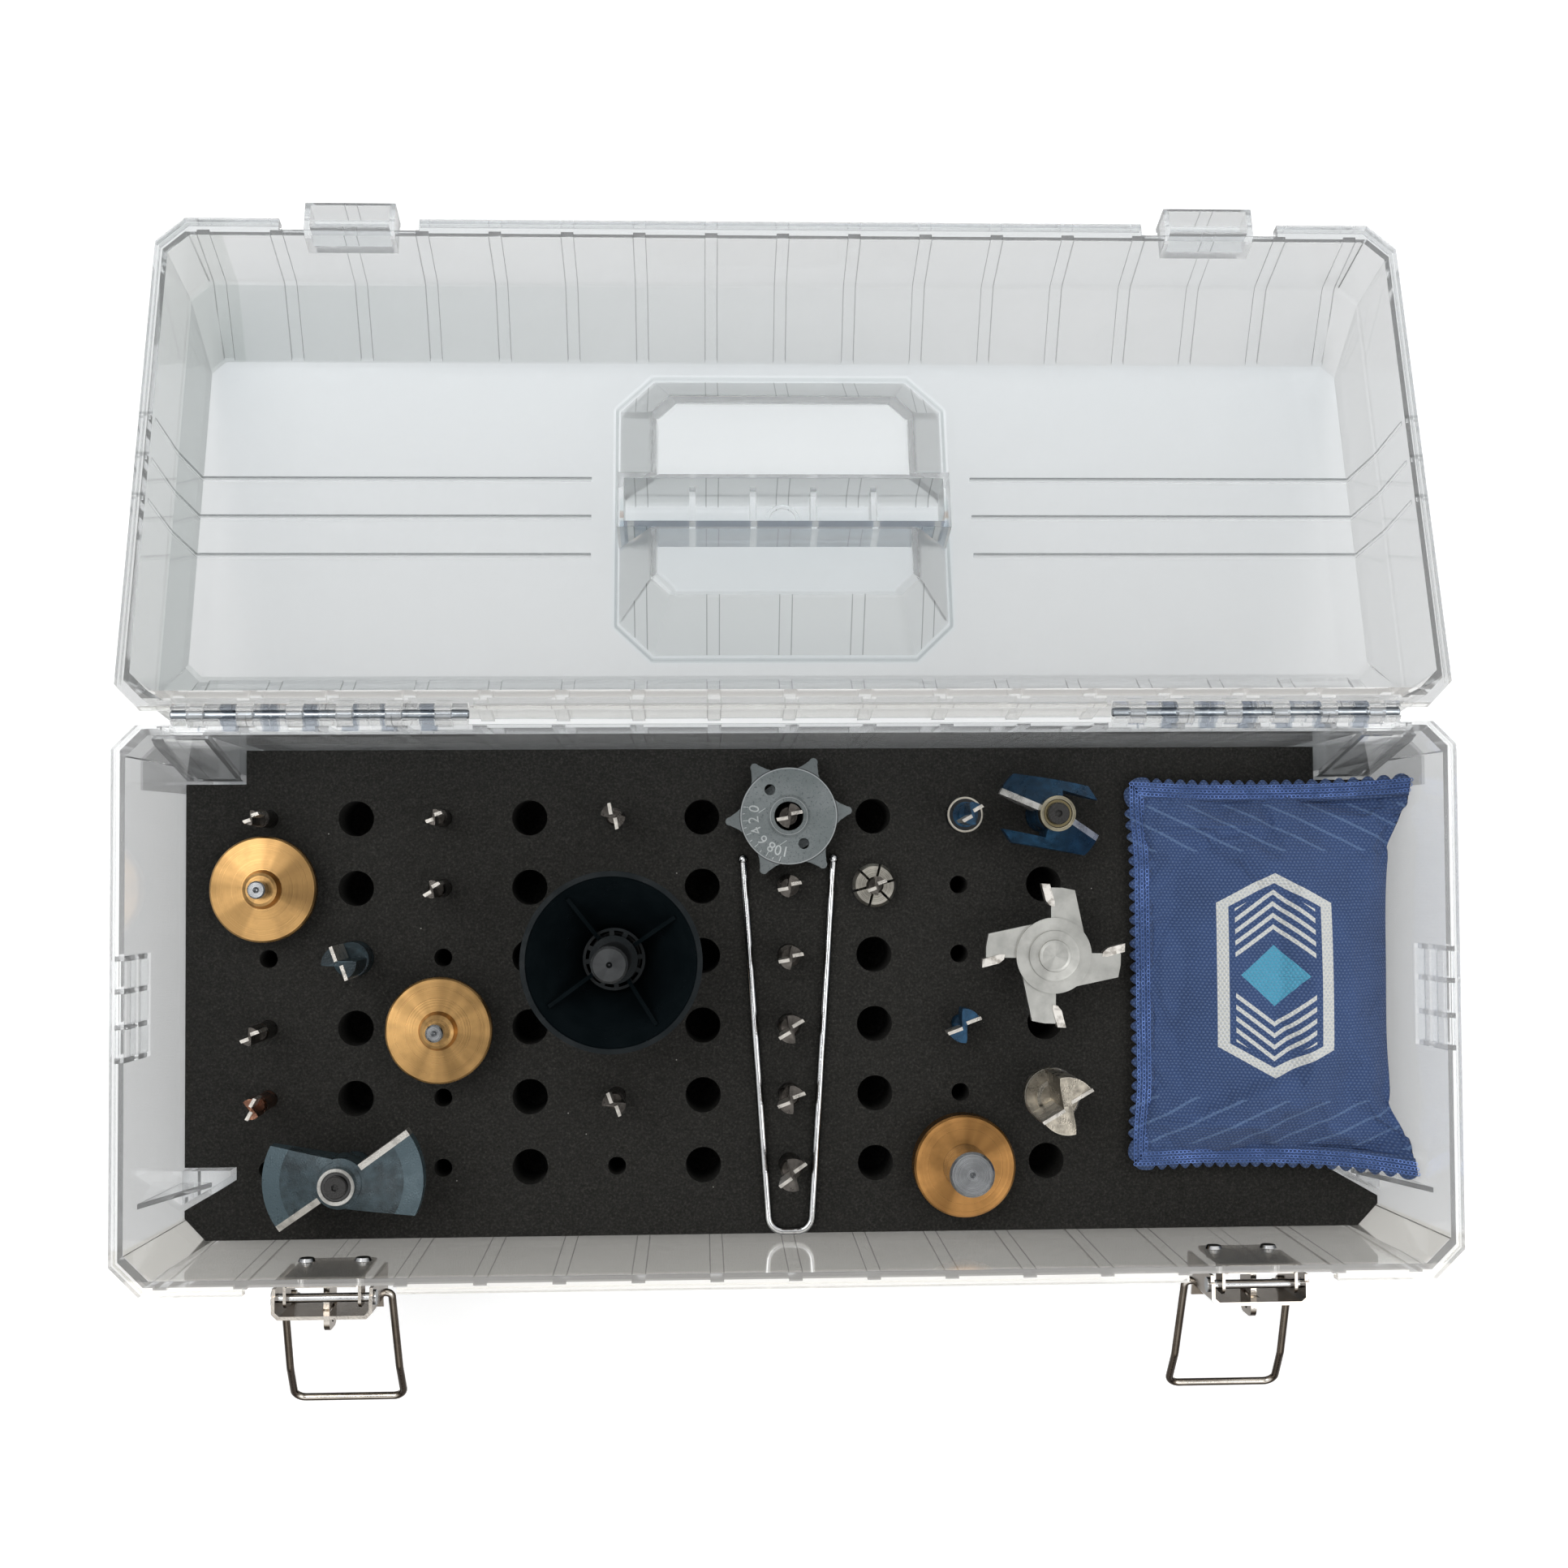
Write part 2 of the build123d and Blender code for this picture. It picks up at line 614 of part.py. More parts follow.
def latch_lever(x):
    """Pressed channel that hangs over the plate; its sides carry the bail's hooks."""
    half = lever_width / 2
    back_y = plate_y - plate_thickness - lever_back_gap
    cut = lever_cut
    with BuildPart() as lever:
        with BuildSketch(Plane.XY.offset(lever_bottom)):
            with BuildLine():
                Polyline(
                    (x - half, back_y), (x - half, lever_front_y + cut), (x - half + cut, lever_front_y),
                    (x + half - cut, lever_front_y), (x + half, lever_front_y + cut), (x + half, back_y))
                Line((x + half, back_y), (x - half, back_y))
            make_face()
            inner = half - lever_sheet
            Polygon(
                (x - inner, back_y + 1), (x - inner, lever_front_y + cut + 0.5),
                (x - inner + cut - 0.5, lever_front_y + lever_sheet),
                (x + inner - cut + 0.5, lever_front_y + lever_sheet),
                (x + inner, lever_front_y + cut + 0.5), (x + inner, back_y + 1),
                align=None, mode=Mode.SUBTRACT)
        extrude(amount=lever_top - lever_bottom)
        # side plates stop short at the top and taper below the bail's pivot
        with BuildSketch(Plane.XY.offset(lever_top - lever_side_short)):
            with Locations((x, back_y)):
                Rectangle(lever_width + 2, 5)
        extrude(amount=2 * lever_side_short, mode=Mode.SUBTRACT)
        with BuildSketch(Plane.YZ.offset(x)):
            Polygon(
                (back_y + 1, lever_bottom - 1), (lever_front_y + lever_sheet + 0.3, lever_bottom - 1),
                (lever_front_y + lever_sheet + 0.3, lever_bottom + 2), (back_y + 1, bail_pivot_z - 3.5),
                align=None)
        extrude(amount=half + 1, both=True, mode=Mode.SUBTRACT)
        # finger lip, flared outwards
        with BuildSketch(Plane.YZ.offset(x)):
            Polygon(
                (lever_front_y, lever_bottom + 1.4), (lever_front_y + lever_sheet, lever_bottom),
                (lever_front_y - lever_lip, lever_bottom - 1.6),
                (lever_front_y - lever_lip, lever_bottom - 0.4), align=None)
        extrude(amount=half - cut, both=True)
        # slot that clears the padlock tab as the lever lifts
        with Locations((x, lever_front_y, (slot_bottom + slot_top) / 2)):
            Box(tab_thickness + 2 * tab_slot_gap, 4 * lever_sheet, slot_top - slot_bottom, mode=Mode.SUBTRACT)
        with Locations((x, lever_pin_y, lever_pin_z)):
            Cylinder(lever_pin_radius + running, lever_width + 4, rotation=(0, 90, 0), mode=Mode.SUBTRACT)
        with Locations((x, bail_pivot_y, bail_pivot_z)):
            Cylinder(bail_wire / 2 + running, lever_width + 4, rotation=(0, 90, 0), mode=Mode.SUBTRACT)
    return lever.part


def latch_bail(x):
    """Bent wire bail: hooks in the lever's sides, kinked legs, and a straight bar."""
    droop = math.radians(bail_droop)
    out_dir = Vector(0, -math.cos(droop), -math.sin(droop))
    pivot = Vector(x, bail_pivot_y, bail_pivot_z)
    first = bail_length * bail_kink_at
    second = bail_length - first
    fall = math.radians(bail_droop + bail_kink)
    kink_dir = Vector(0, -math.cos(fall), -math.sin(fall))
    half_top = lever_width / 2 + bail_wire / 2 + bail_side_gap
    half_bar = bail_width / 2 - bail_wire / 2
    stub = lever_width / 2 - lever_sheet - 1.4
    knee = pivot + out_dir * first
    end = knee + kink_dir * second

    def side_points(side):
        return [
            pivot + Vector(side * stub, 0, 0), pivot + Vector(side * half_top, 0, 0),
            knee + Vector(side * (half_top + (half_bar - half_top) * bail_kink_at), 0, 0),
            end + Vector(side * half_bar, 0, 0)]

    points = side_points(-1) + side_points(1)[::-1]
    with BuildPart() as bail:
        with BuildLine() as wire:
            bends = [bail_hook_bend, bail_knee_bend, bail_bend]
            FilletPolyline(*points, radius=bends + bends[::-1])
        with BuildSketch(Plane(origin=points[0], z_dir=points[1] - points[0])):
            Circle(bail_wire / 2)
        sweep(path=wire.line)
    return bail.part


for side, hand in ((-1, "left"), (1, "right")):
    centre_x = side * fitting_x
    latch_pieces = {
        f"latch_plate_{hand}": latch_plate(centre_x), f"latch_rivets_{hand}": latch_rivets(centre_x),
        f"lever_pin_{hand}": lever_pin(centre_x), f"latch_lever_{hand}": latch_lever(centre_x),
        f"latch_bail_{hand}": latch_bail(centre_x)}
    for name, piece in latch_pieces.items():
        piece.label = name
        export_step(piece, f"parts/{name}.step")


# Foam insert with its sockets
def foam_section(z):
    """Outline of the foam at height z, with its notches for the pockets and gussets."""
    x_wall = drafted(inner_x_floor, inner_x_rim, z) - foam_side_gap
    front = drafted(inner_front_floor, inner_front_rim, z) + foam_front_gap
    back = drafted(inner_back_floor, inner_back_rim, z) - foam_back_gap
    pocket_y = inner_back_floor - pocket_depth - key_gap
    pocket_edge = inner_x_floor - pocket_width - key_gap
    gusset_back = gusset_y + gusset_width / 2 + key_gap
    gusset_front = gusset_y - gusset_width / 2 - key_gap
    gusset_x = inner_x_floor - gusset_reach - key_gap
    half_outline = [
        (pocket_edge, back), (pocket_edge, pocket_y), (x_wall, pocket_y),
        (x_wall, gusset_back), (gusset_x, gusset_back), (gusset_x, gusset_back - 2 * key_gap - 2.4),
        (x_wall, gusset_front), (x_wall, front + 8), (x_wall - 7.5, front)]
    return Polygon(*half_outline, *[(-x, y) for x, y in half_outline[::-1]], align=None)


big_columns = (1, 3, 5, 7, 9)
small_columns = (0, 2, 4, 8)
metric_column = 6
rows = range(6)

with BuildPart() as foam_block:
    with BuildSketch(Plane.XY.offset(foam_bottom)):
        foam_section(foam_bottom)
    with BuildSketch(Plane.XY.offset(foam_top)):
        foam_section(foam_top)
    loft(ruled=True)
    with BuildSketch(Plane.XY.offset(foam_top)):
        for columns, radius in (
                (big_columns, half_inch_socket), (small_columns, quarter_inch_socket),
                ((metric_column,), eight_mm_socket)):
            with Locations(*[(column_x(c), row_y(r)) for c in columns for r in rows]):
                Circle(radius)
    extrude(amount=-(foam_height - foam_floor), mode=Mode.SUBTRACT)
foam_block.part.label = "foam_block"
export_step(foam_block.part, "parts/foam_block.step")


# Cutters and accessories, each standing in its socket
seat_z = socket_bottom + 0.1
centre_mark = 1.1
plate_thickness = 1.2
plate_proud = 0.45


def upright(x, y):
    """Drawing plane through a tool's axis: across, then up."""
    return Plane(origin=(x, y, 0), x_dir=(1, 0, 0), z_dir=(0, -1, 0))


def turned(x, y, profile):
    """Solid of revolution about a tool's axis, from radius and height pairs."""
    low, high = profile[0][1], profile[-1][1]
    with BuildPart() as piece:
        with BuildSketch(upright(x, y)):
            Polygon((0, low), *profile, (0, high), align=None)
        revolve(axis=Axis((x, y, 0), (0, 0, 1)))
    return piece.part


def centre_marked(radius, edge, top):
    """End of a turned pin: chamfered edge, flat face and a centre mark."""
    return [(radius, top - edge), (radius - edge, top), (centre_mark, top), (0.3, top - centre_mark)]


def fluted_bit(x, y, shank, shank_out, root, tip, top, facing, web=0.16):
    """Two-flute cutter on a plain shank: gullets leave two wings, each faced with a proud carbide plate."""
    z_shank, z_tip = foam_top + shank_out, foam_top + top
    reach = max(root, tip)
    profile = [(shank, seat_z), (shank, z_shank - 1), (min(shank, root) * 0.8, z_shank),
               (root, z_shank + 1.2), (tip, z_tip)]
    turn = math.radians(facing)
    plane = Plane(origin=(x, y, z_tip), x_dir=(math.cos(turn), math.sin(turn), 0), z_dir=(0, 0, 1))
    with BuildPart() as bit:
        add(turned(x, y, profile))
        with BuildSketch(plane):
            with PolarLocations(0, 2):
                Polygon((web * reach, 0), (1.4 * reach, 0), (1.4 * reach, -1.4 * reach),
                        (-0.5 * reach, -1.4 * reach), (-0.12 * reach, -0.75 * reach), align=None)
        extrude(amount=-(z_tip - z_shank), mode=Mode.SUBTRACT)
        with BuildPart(mode=Mode.PRIVATE) as plates:
            with BuildSketch(plane.offset(plate_proud)):
                with PolarLocations(0, 2):
                    Polygon((web * reach, 0), (1.4 * reach, 0), (1.4 * reach, plate_thickness),
                            (1.2 * web * reach, plate_thickness), align=None)
            extrude(amount=-(z_tip - z_shank) + 1.6)
            add(turned(x, y, [(root + plate_proud, z_shank + 1.2), (tip + plate_proud, z_tip + plate_proud)]),
                mode=Mode.INTERSECT)
        add(plates.part)
    return bit.part


def bearing(x, y, radius, bore, bottom, width):
    """Guide bearing: two races with a shallow channel between them."""
    ring = radius - bore
    with BuildPart() as piece:
        with BuildSketch(Plane(origin=(x, y, foam_top + bottom))):
            Circle(radius)
            Circle(bore, mode=Mode.SUBTRACT)
        extrude(amount=width)
        for z_low in (foam_top + bottom + width - 0.5, foam_top + bottom - 0.1):
            with BuildSketch(Plane(origin=(x, y, z_low))):
                Circle(radius - 0.3 * ring)
                Circle(bore + 0.3 * ring, mode=Mode.SUBTRACT)
            extrude(amount=0.6, mode=Mode.SUBTRACT)
    return piece.part


def save(name, piece):
    piece.label = name
    export_step(piece, f"parts/{name}.step")


# name: column, row, shank radius, shank length out of the foam, root and tip radius, top, facing
straight_bits = {
    "bit_fluted_a": (0, 0, quarter_inch, 16.0, 2.6, 2.6, 30.0, 200.0),
    "bit_fluted_b": (0, 3, quarter_inch, 15.0, 3.2, 3.2, 31.0, 20.0),
    "bit_point": (0, 4, quarter_inch, 18.0, 3.6, 3.6, 29.0, 60.0),
    "bit_fluted_c": (2, 0, quarter_inch, 14.0, 2.8, 2.8, 26.0, 200.0),
    "bit_fluted_d": (2, 1, quarter_inch, 18.0, 3.1, 3.1, 32.0, 30.0),
    "bit_dovetail_small": (4, 0, quarter_inch, 16.0, 3.0, 4.4, 26.0, 100.0),
    "bit_dovetail_plain": (4, 4, quarter_inch, 15.0, 3.0, 4.2, 26.0, 110.0),
    "bit_straight_half_inch": (1, 2, half_inch, 12.0, 6.0, 6.0, 36.0, 110.0),
    "bit_straight_short": (8, 3, quarter_inch, 3.0, 6.2, 6.2, 14.0, 20.0),
    "bit_straight_collared": (8, 0, quarter_inch, 24.0, 4.0, 4.0, 41.0, 30.0),
    "bit_large_silver": (9, 4, half_inch, 20.0, 10.0, 10.0, 46.0, 30.0),
    "bit_dial": (6, 0, eight_mm, 8.0, 4.0, 4.4, 17.0, 10.0),
    "bit_dovetail_one": (6, 1, eight_mm, 4.0, 3.2, 4.0, 15.0, 10.0),
    "bit_dovetail_two": (6, 2, eight_mm, 9.0, 3.4, 4.2, 22.0, 10.0),
    "bit_dovetail_three": (6, 3, eight_mm, 8.0, 3.8, 5.0, 22.0, 30.0),
    "bit_dovetail_four": (6, 4, eight_mm, 6.0, 3.8, 5.0, 19.0, 20.0),
    "bit_dovetail_five": (6, 5, eight_mm, 13.0, 4.2, 5.8, 27.0, 35.0),
}
# name: radius, bottom and top of a stop collar, above the foam
collar_edge = 0.5
collars = {"bit_straight_collared": (6.5, 14.0, 21.0), "bit_large_silver": (10.0, 10.0, 14.8)}
for name, (column, row, shank, shank_out, root, tip, top, facing) in straight_bits.items():
    x, y = column_x(column), row_y(row)
    bit = fluted_bit(x, y, shank, shank_out, root, tip, top, facing)
    if name in collars:
        collar, low, high = collars[name]
        with BuildPart() as collared:
            add(bit)
            add(turned(x, y, [
                (collar - collar_edge, foam_top + low), (collar, foam_top + low + collar_edge),
                (collar, foam_top + high - collar_edge), (collar - collar_edge, foam_top + high)]))
        bit = collared.part
    save(name, bit)


# Winged cutters, each with a guide bearing on its nose
nose_radius = 2.4
bearing_radius = 6.35
bearing_width = 4.9
wing_strip = 1.7
screw_radius = 3.9
screw_edge = 0.3
screw_key = 1.4


def winged_bit(x, y, facing, wing, envelope, hub, low, nose_low):
    """Cutter whose two wings are the plan outline cut to a turned envelope, each led by a carbide strip."""
    reach, top = envelope[1][0], envelope[0][1]
    turn = math.radians(facing)
    facing_dir = (math.cos(turn), math.sin(turn), 0)
    turned_plane = Plane(origin=(x, y, foam_top + low), x_dir=facing_dir, z_dir=(0, 0, 1))
    screw_top = foam_top + nose_low + bearing_width + 1.6
    with BuildPart() as bit:
        with BuildSketch(turned_plane):
            with PolarLocations(0, 2):
                Polygon(*wing, align=None)
                strip_root = hub * 0.6
                Polygon(
                    (strip_root, -0.5), (2 * reach, -0.5), (2 * reach, wing_strip), (strip_root, wing_strip),
                    align=None)
        extrude(amount=top - low)
        add(turned(x, y, [(reach, foam_top + low)] + [(r, foam_top + z) for r, z in envelope[::-1]]),
            mode=Mode.INTERSECT)
        add(turned(x, y, [
            (half_inch, seat_z), (half_inch, foam_top + low - 5), (hub, foam_top + low - 1),
            (hub, foam_top + nose_low - 2), (nose_radius + 1.6, foam_top + nose_low - 0.1),
            (nose_radius, foam_top + nose_low), (nose_radius, foam_top + nose_low + bearing_width + 0.2),
            (screw_radius, foam_top + nose_low + bearing_width + 0.25),
            (screw_radius, screw_top - screw_edge), (screw_radius - screw_edge, screw_top)]))
        with BuildSketch(Plane(origin=(x, y, screw_top), x_dir=facing_dir, z_dir=(0, 0, 1))):
            RegularPolygon(screw_key, 6)
        extrude(amount=-screw_key, mode=Mode.SUBTRACT)
    return bit.part


# Panel raiser: broad fans, sloping down from the hub
raiser_x, raiser_y = column_x(1), row_y(5)
raiser_nose = 36.0
raiser_wing = [(0, 0), (36, 0), (36, -30), (13.4, -24.6), (-2.8, -8.6)]
save("bit_panel_raiser", winged_bit(
    raiser_x, raiser_y, 35.0, raiser_wing, [(8.0, 34.5), (28.0, 27.0)], 8.8, 20.0, raiser_nose))
save("bearing_panel_raiser", bearing(
    raiser_x, raiser_y, bearing_radius, nose_radius + running, raiser_nose + 0.1, bearing_width))

# Chamfer cutter: wings under a steep cone
chamfer_x, chamfer_y = column_x(9), row_y(0)
chamfer_nose = 27.5
chamfer_wing = [(0, 0), (24, 0), (19.2, -6.9), (-7.6, -15.5), (-13, -12.6), (1.2, -8.9), (0.3, -6.7)]
save("bit_chamfer", winged_bit(
    chamfer_x, chamfer_y, 152.0, chamfer_wing, [(6.5, 27.0), (19.6, 14.0)], 6.0, 10.0, chamfer_nose))
save("bearing_chamfer", bearing(
    chamfer_x, chamfer_y, bearing_radius, nose_radius + running, chamfer_nose + 0.1, bearing_width))

# Slot cutter: four arms on a hub, clamped on its arbor
slot_x, slot_y = column_x(9), row_y(2)
slot_top_z = foam_top + 20.0
slot_hub = 13.6
slot_sheet = 3.0
slot_bore = 3.975
slot_plane = Plane(origin=(slot_x, slot_y, slot_top_z))
with BuildPart() as slot_cutter:
    with BuildSketch(slot_plane):
        Circle(slot_hub - 1)
        with PolarLocations(0, 4, start_angle=1):
            Polygon((6, -11.6), (23.2, -8.4), (24.2, -4), (24.4, 0.1), (13, 0.5), (6, 0.5), align=None)
    extrude(amount=-slot_sheet)
    with BuildSketch(slot_plane.offset(0.6)):
        with PolarLocations(0, 4, start_angle=1):
            Polygon((25.9, 3.7), (25.7, 0.7), (19.4, -0.9), (17.6, -0.8), (18, 0.9), (19.8, 2.3), align=None)
    extrude(amount=-slot_sheet - 1.2)
    with BuildSketch(slot_plane):
        Circle(slot_hub)
    extrude(amount=1.4)
    with BuildSketch(slot_plane.offset(2)):
        Circle(slot_bore)
    extrude(amount=-10, mode=Mode.SUBTRACT)
save("slot_cutter", slot_cutter.part)
slot_collar = 8.0
slot_spigot = 3.92
slot_cap = 9.0
slot_seat_z = slot_top_z - slot_sheet - 0.6
save("slot_cutter_arbor", turned(slot_x, slot_y, [
    (half_inch, seat_z), (half_inch, foam_top + 13),
    (slot_collar, foam_top + 14), (slot_collar, slot_seat_z - 0.05),
    (slot_spigot, slot_seat_z), (slot_spigot, slot_top_z + 1.4), (slot_cap, slot_top_z + 1.45),
    (slot_cap, slot_top_z + 2.4), (5.8, slot_top_z + 2.6), (5.6, slot_top_z + 3.8), (4.6, slot_top_z + 4.0)]))

# Brass centring discs on quarter-inch pins
disc_radius = 19.0
disc_thickness = 5.0
disc_boss = 6.0
disc_neck = 9.5
disc_edge = 0.6
# name: column, row, face and top of the pin above the foam
discs = {"brass_disc_left": (0, 1, 11.0, 22.0), "brass_disc_middle": (2, 3, 14.0, 26.0)}
for name, (column, row, face, pin_top) in discs.items():
    x, y = column_x(column), row_y(row)
    face_z = foam_top + face
    under_z = face_z - disc_thickness
    with BuildPart() as disc:
        add(turned(x, y, [
            (disc_neck, foam_top + 0.1), (disc_neck, under_z), (disc_radius - disc_edge, under_z),
            (disc_radius, under_z + disc_edge), (disc_radius, face_z - disc_edge),
            (disc_radius - disc_edge, face_z), (disc_boss + 1, face_z + 0.8),
            (disc_boss, face_z + 4.5), (disc_boss - 1, face_z + 5)]))
        with Locations((x, y, face_z)):
            Cylinder(quarter_inch + 0.02, 60, mode=Mode.SUBTRACT)
    save(name, disc.part)
    pin_z = foam_top + pin_top
    save(f"{name}_pin", turned(x, y, [(quarter_inch, seat_z)] + centre_marked(quarter_inch, 0.5, pin_z)))

# Brass knob with its steel post
knob_x, knob_y = column_x(8), row_y(5)
knob_radius = 18.4
post_radius = 8.0
with BuildPart() as brass_knob:
    add(turned(knob_x, knob_y, [
        (12.0, foam_top + 0.1), (12.0, foam_top + 2.5), (knob_radius - 0.7, foam_top + 2.5),
        (knob_radius, foam_top + 3.2), (knob_radius, foam_top + 11.3), (knob_radius - 0.7, foam_top + 12.0)]))
    with Locations((knob_x, knob_y, foam_top + 8)):
        Cylinder(post_radius + 0.02, 30, mode=Mode.SUBTRACT)
save("brass_knob", brass_knob.part)
save("brass_knob_post", turned(knob_x, knob_y, [
    (quarter_inch, seat_z), (quarter_inch, foam_top - 0.5), (quarter_inch, foam_top + 0.1),
    (post_radius, foam_top + 0.15)] + centre_marked(post_radius, 0.8, foam_top + 32.0)))

# Centring cone: a thin funnel with four webs round its hub, on a stepped post
cone_x, cone_y = column_x(4), row_y(2)
cone_radius = 31.5
cone_top = 44.0
cone_bottom = 7.0
cone_wall = 1.8
hub_radius = 8.6
hub_rib = 1.7
hub_ribs = 12
hub_rib_top = 13.0
with BuildPart() as centring_cone:
    with BuildSketch(upright(cone_x, cone_y)):
        Polygon(
            (half_inch + 0.02, foam_top + cone_bottom), (hub_radius, foam_top + cone_bottom),
            (cone_radius, foam_top + cone_top - 2.4), (cone_radius, foam_top + cone_top),
            (cone_radius - cone_wall, foam_top + cone_top),
            (cone_radius - cone_wall - 0.4, foam_top + cone_top - 1.6),
            (hub_radius + 0.6, foam_top + cone_bottom + 2.6), (hub_radius, foam_top + cone_bottom + 2.6),
            (hub_radius, foam_top + cone_bottom + 19.0), (half_inch + 0.02, foam_top + cone_bottom + 19.0),
            align=None)
    revolve(axis=Axis((cone_x, cone_y, 0), (0, 0, 1)))
    for turn in (35, 125, 215, 305):
        direction = (math.cos(math.radians(turn)), math.sin(math.radians(turn)), 0)
        web_plane = Plane(origin=(cone_x, cone_y, 0), x_dir=direction, z_dir=(direction[1], -direction[0], 0))
        with BuildSketch(web_plane):
            Polygon(
                (hub_radius - 0.8, foam_top + cone_bottom + 1), (hub_radius - 0.8, foam_top + cone_bottom + 16),
                (cone_radius - cone_wall - 3.0, foam_top + cone_top - 4.5), align=None)
        extrude(amount=0.7, both=True)
    # ring of twelve ribs round the hub
    with BuildSketch(Plane(origin=(cone_x, cone_y, foam_top + cone_bottom + 2.0))):
        with PolarLocations(hub_radius + hub_rib / 2 - 0.2, hub_ribs, start_angle=5):
            Rectangle(hub_rib + 0.4, hub_rib)
    extrude(amount=hub_rib_top - 2.0)
    with BuildSketch(Plane(origin=(cone_x, cone_y, foam_top + cone_bottom + 2.0))):
        Circle(hub_radius + hub_rib + 0.8)
        Circle(hub_radius + hub_rib - 0.2, mode=Mode.SUBTRACT)
    extrude(amount=hub_rib_top - 2.0)
save("centring_cone", centring_cone.part)
save("centring_post", turned(cone_x, cone_y, [
    (quarter_inch, seat_z), (quarter_inch, foam_top + 1.0), (half_inch, foam_top + 2.2)]
    + centre_marked(half_inch, 0.8, foam_top + 60.0)))

# Dial bush: a six-toothed disc on a short barrel
dial_x, dial_y = column_x(6), row_y(0)
dial_radius = 17.6
dial_tooth = 23.0
dial_plate = 5.0
tooth_round = 1.5
tooth_centre = dial_tooth - tooth_round
with BuildPart() as dial_bush:
    with BuildSketch(Plane(origin=(dial_x, dial_y, foam_top + 0.1))):
        Circle(12.7)
    extrude(amount=6)
    with BuildSketch(Plane(origin=(dial_x, dial_y, foam_top + 5.6))):
        Circle(dial_radius)
        with PolarLocations(0, 6, start_angle=5):
            Polygon(
                (15.5, -6.0), (18.4, -3.3), (tooth_centre, -tooth_round), (tooth_centre, tooth_round),
                (18.4, 3.3), (15.5, 6.0), align=None)
        with PolarLocations(tooth_centre, 6, start_angle=5):
            Circle(tooth_round)
    extrude(amount=dial_plate)
    with BuildSketch(Plane(origin=(dial_x, dial_y, foam_top + 5.5 + dial_plate))):
        Circle(8.0)
    extrude(amount=0.9, taper=60)
    with Locations((dial_x, dial_y, foam_top + 5)):
        Cylinder(5.3, 14, mode=Mode.SUBTRACT)
    with BuildSketch(Plane(origin=(dial_x, dial_y, foam_top + 10.7))):
        for dx, dy in ((-6.8, 9.6), (5.4, -10.0)):
            with Locations((dx, dy)):
                Circle(2.0)
    extrude(amount=-5.2, mode=Mode.SUBTRACT)
save("dial_bush", dial_bush.part)

# Collet with six slots, and the cutter that it holds
collet_x, collet_y = column_x(7), row_y(1)
collet_radius = 8.0
with BuildPart() as collet:
    add(turned(collet_x, collet_y, [
        (4.4, seat_z + 8), (5.6, foam_top - 2), (6.2, foam_top + 0.1), (collet_radius, foam_top + 1.8),
        (collet_radius, foam_top + 4.8), (collet_radius - 1, foam_top + 6.0)]))
    with Locations((collet_x, collet_y, foam_top)):
        Cylinder(quarter_inch + 0.02, 70, mode=Mode.SUBTRACT)
    with BuildSketch(Plane(origin=(collet_x, collet_y, foam_top + 7))):
        with PolarLocations(6.2, 6, start_angle=15):
            Rectangle(7, 0.9)
    extrude(amount=-16, mode=Mode.SUBTRACT)
save("collet", collet.part)
save("bit_collet", fluted_bit(collet_x, collet_y, quarter_inch, 8.0, 3.0, 3.4, 16.0, 20.0))

# Pin spanner of bent wire, lying on the foam round the dovetail bits
spanner_wire = 2.6
spanner_ball = 1.8
spanner_z = foam_top + spanner_ball + 0.05
spanner_tip_x, spanner_tip_y = 16.6, 49.0
spanner_bend_x, spanner_bend_y = 7.6, -86.6
with BuildPart() as wire_spanner:
    with BuildLine() as spanner_path:
        FilletPolyline(
            (dial_x - spanner_tip_x, spanner_tip_y, spanner_z),
            (dial_x - spanner_bend_x, spanner_bend_y, spanner_z),
            (dial_x + spanner_bend_x, spanner_bend_y, spanner_z),
            (dial_x + spanner_tip_x, spanner_tip_y, spanner_z),
            radius=5.6)
    path_start = spanner_path.line @ 0
    with BuildSketch(Plane(origin=path_start, z_dir=spanner_path.line % 0)):
        Circle(spanner_wire / 2)
    sweep(path=spanner_path.line)
    with Locations(spanner_path.line @ 0, spanner_path.line @ 1):
        Sphere(spanner_ball)
save("wire_spanner", wire_spanner.part)

# Fabric pouch: a filled cushion with thin seams, its right side raised against the end wall
pouch_left = 124.6
pouch_right = 220.2
pouch_back = 77.0
pouch_front = -64.4
pouch_crown = 27.0
pouch_draw = 3.4
pouch_left_z = 43.0
pouch_sag = 13.0
pouch_right_z = 75.0
seam = 1.6
sections = 9


def pouch_section(y):
    """Lens section across the pouch at y: flat where it lies, crowned above."""
    along = 2 * (y - pouch_front) / (pouch_back - pouch_front) - 1
    fill = max(1 - abs(along) ** 3, 0) ** 0.6
    draw = pouch_draw * (1 - along ** 2)
    left, right = pouch_left + draw, pouch_right - draw
    left_z, right_z = pouch_left_z, pouch_right_z - pouch_sag * (1 - along ** 2)
    width = right - left
    lift = pouch_crown * fill
    rest = foam_top + 0.9
    hang = rest + (1 - fill) * 7
    under = (
        (left, left_z - seam / 2), (left + 0.3 * width, hang), (left + 0.62 * width, hang + 1.0),
        (right, right_z - seam / 2))
    over = (
        (right, right_z + seam / 2), (left + 0.72 * width, hang + 7 + lift * 0.95 + (1 - fill) * 8),
        (left + 0.3 * width, hang + 3 + lift * 0.9), (left, left_z + seam / 2))
    return under, over


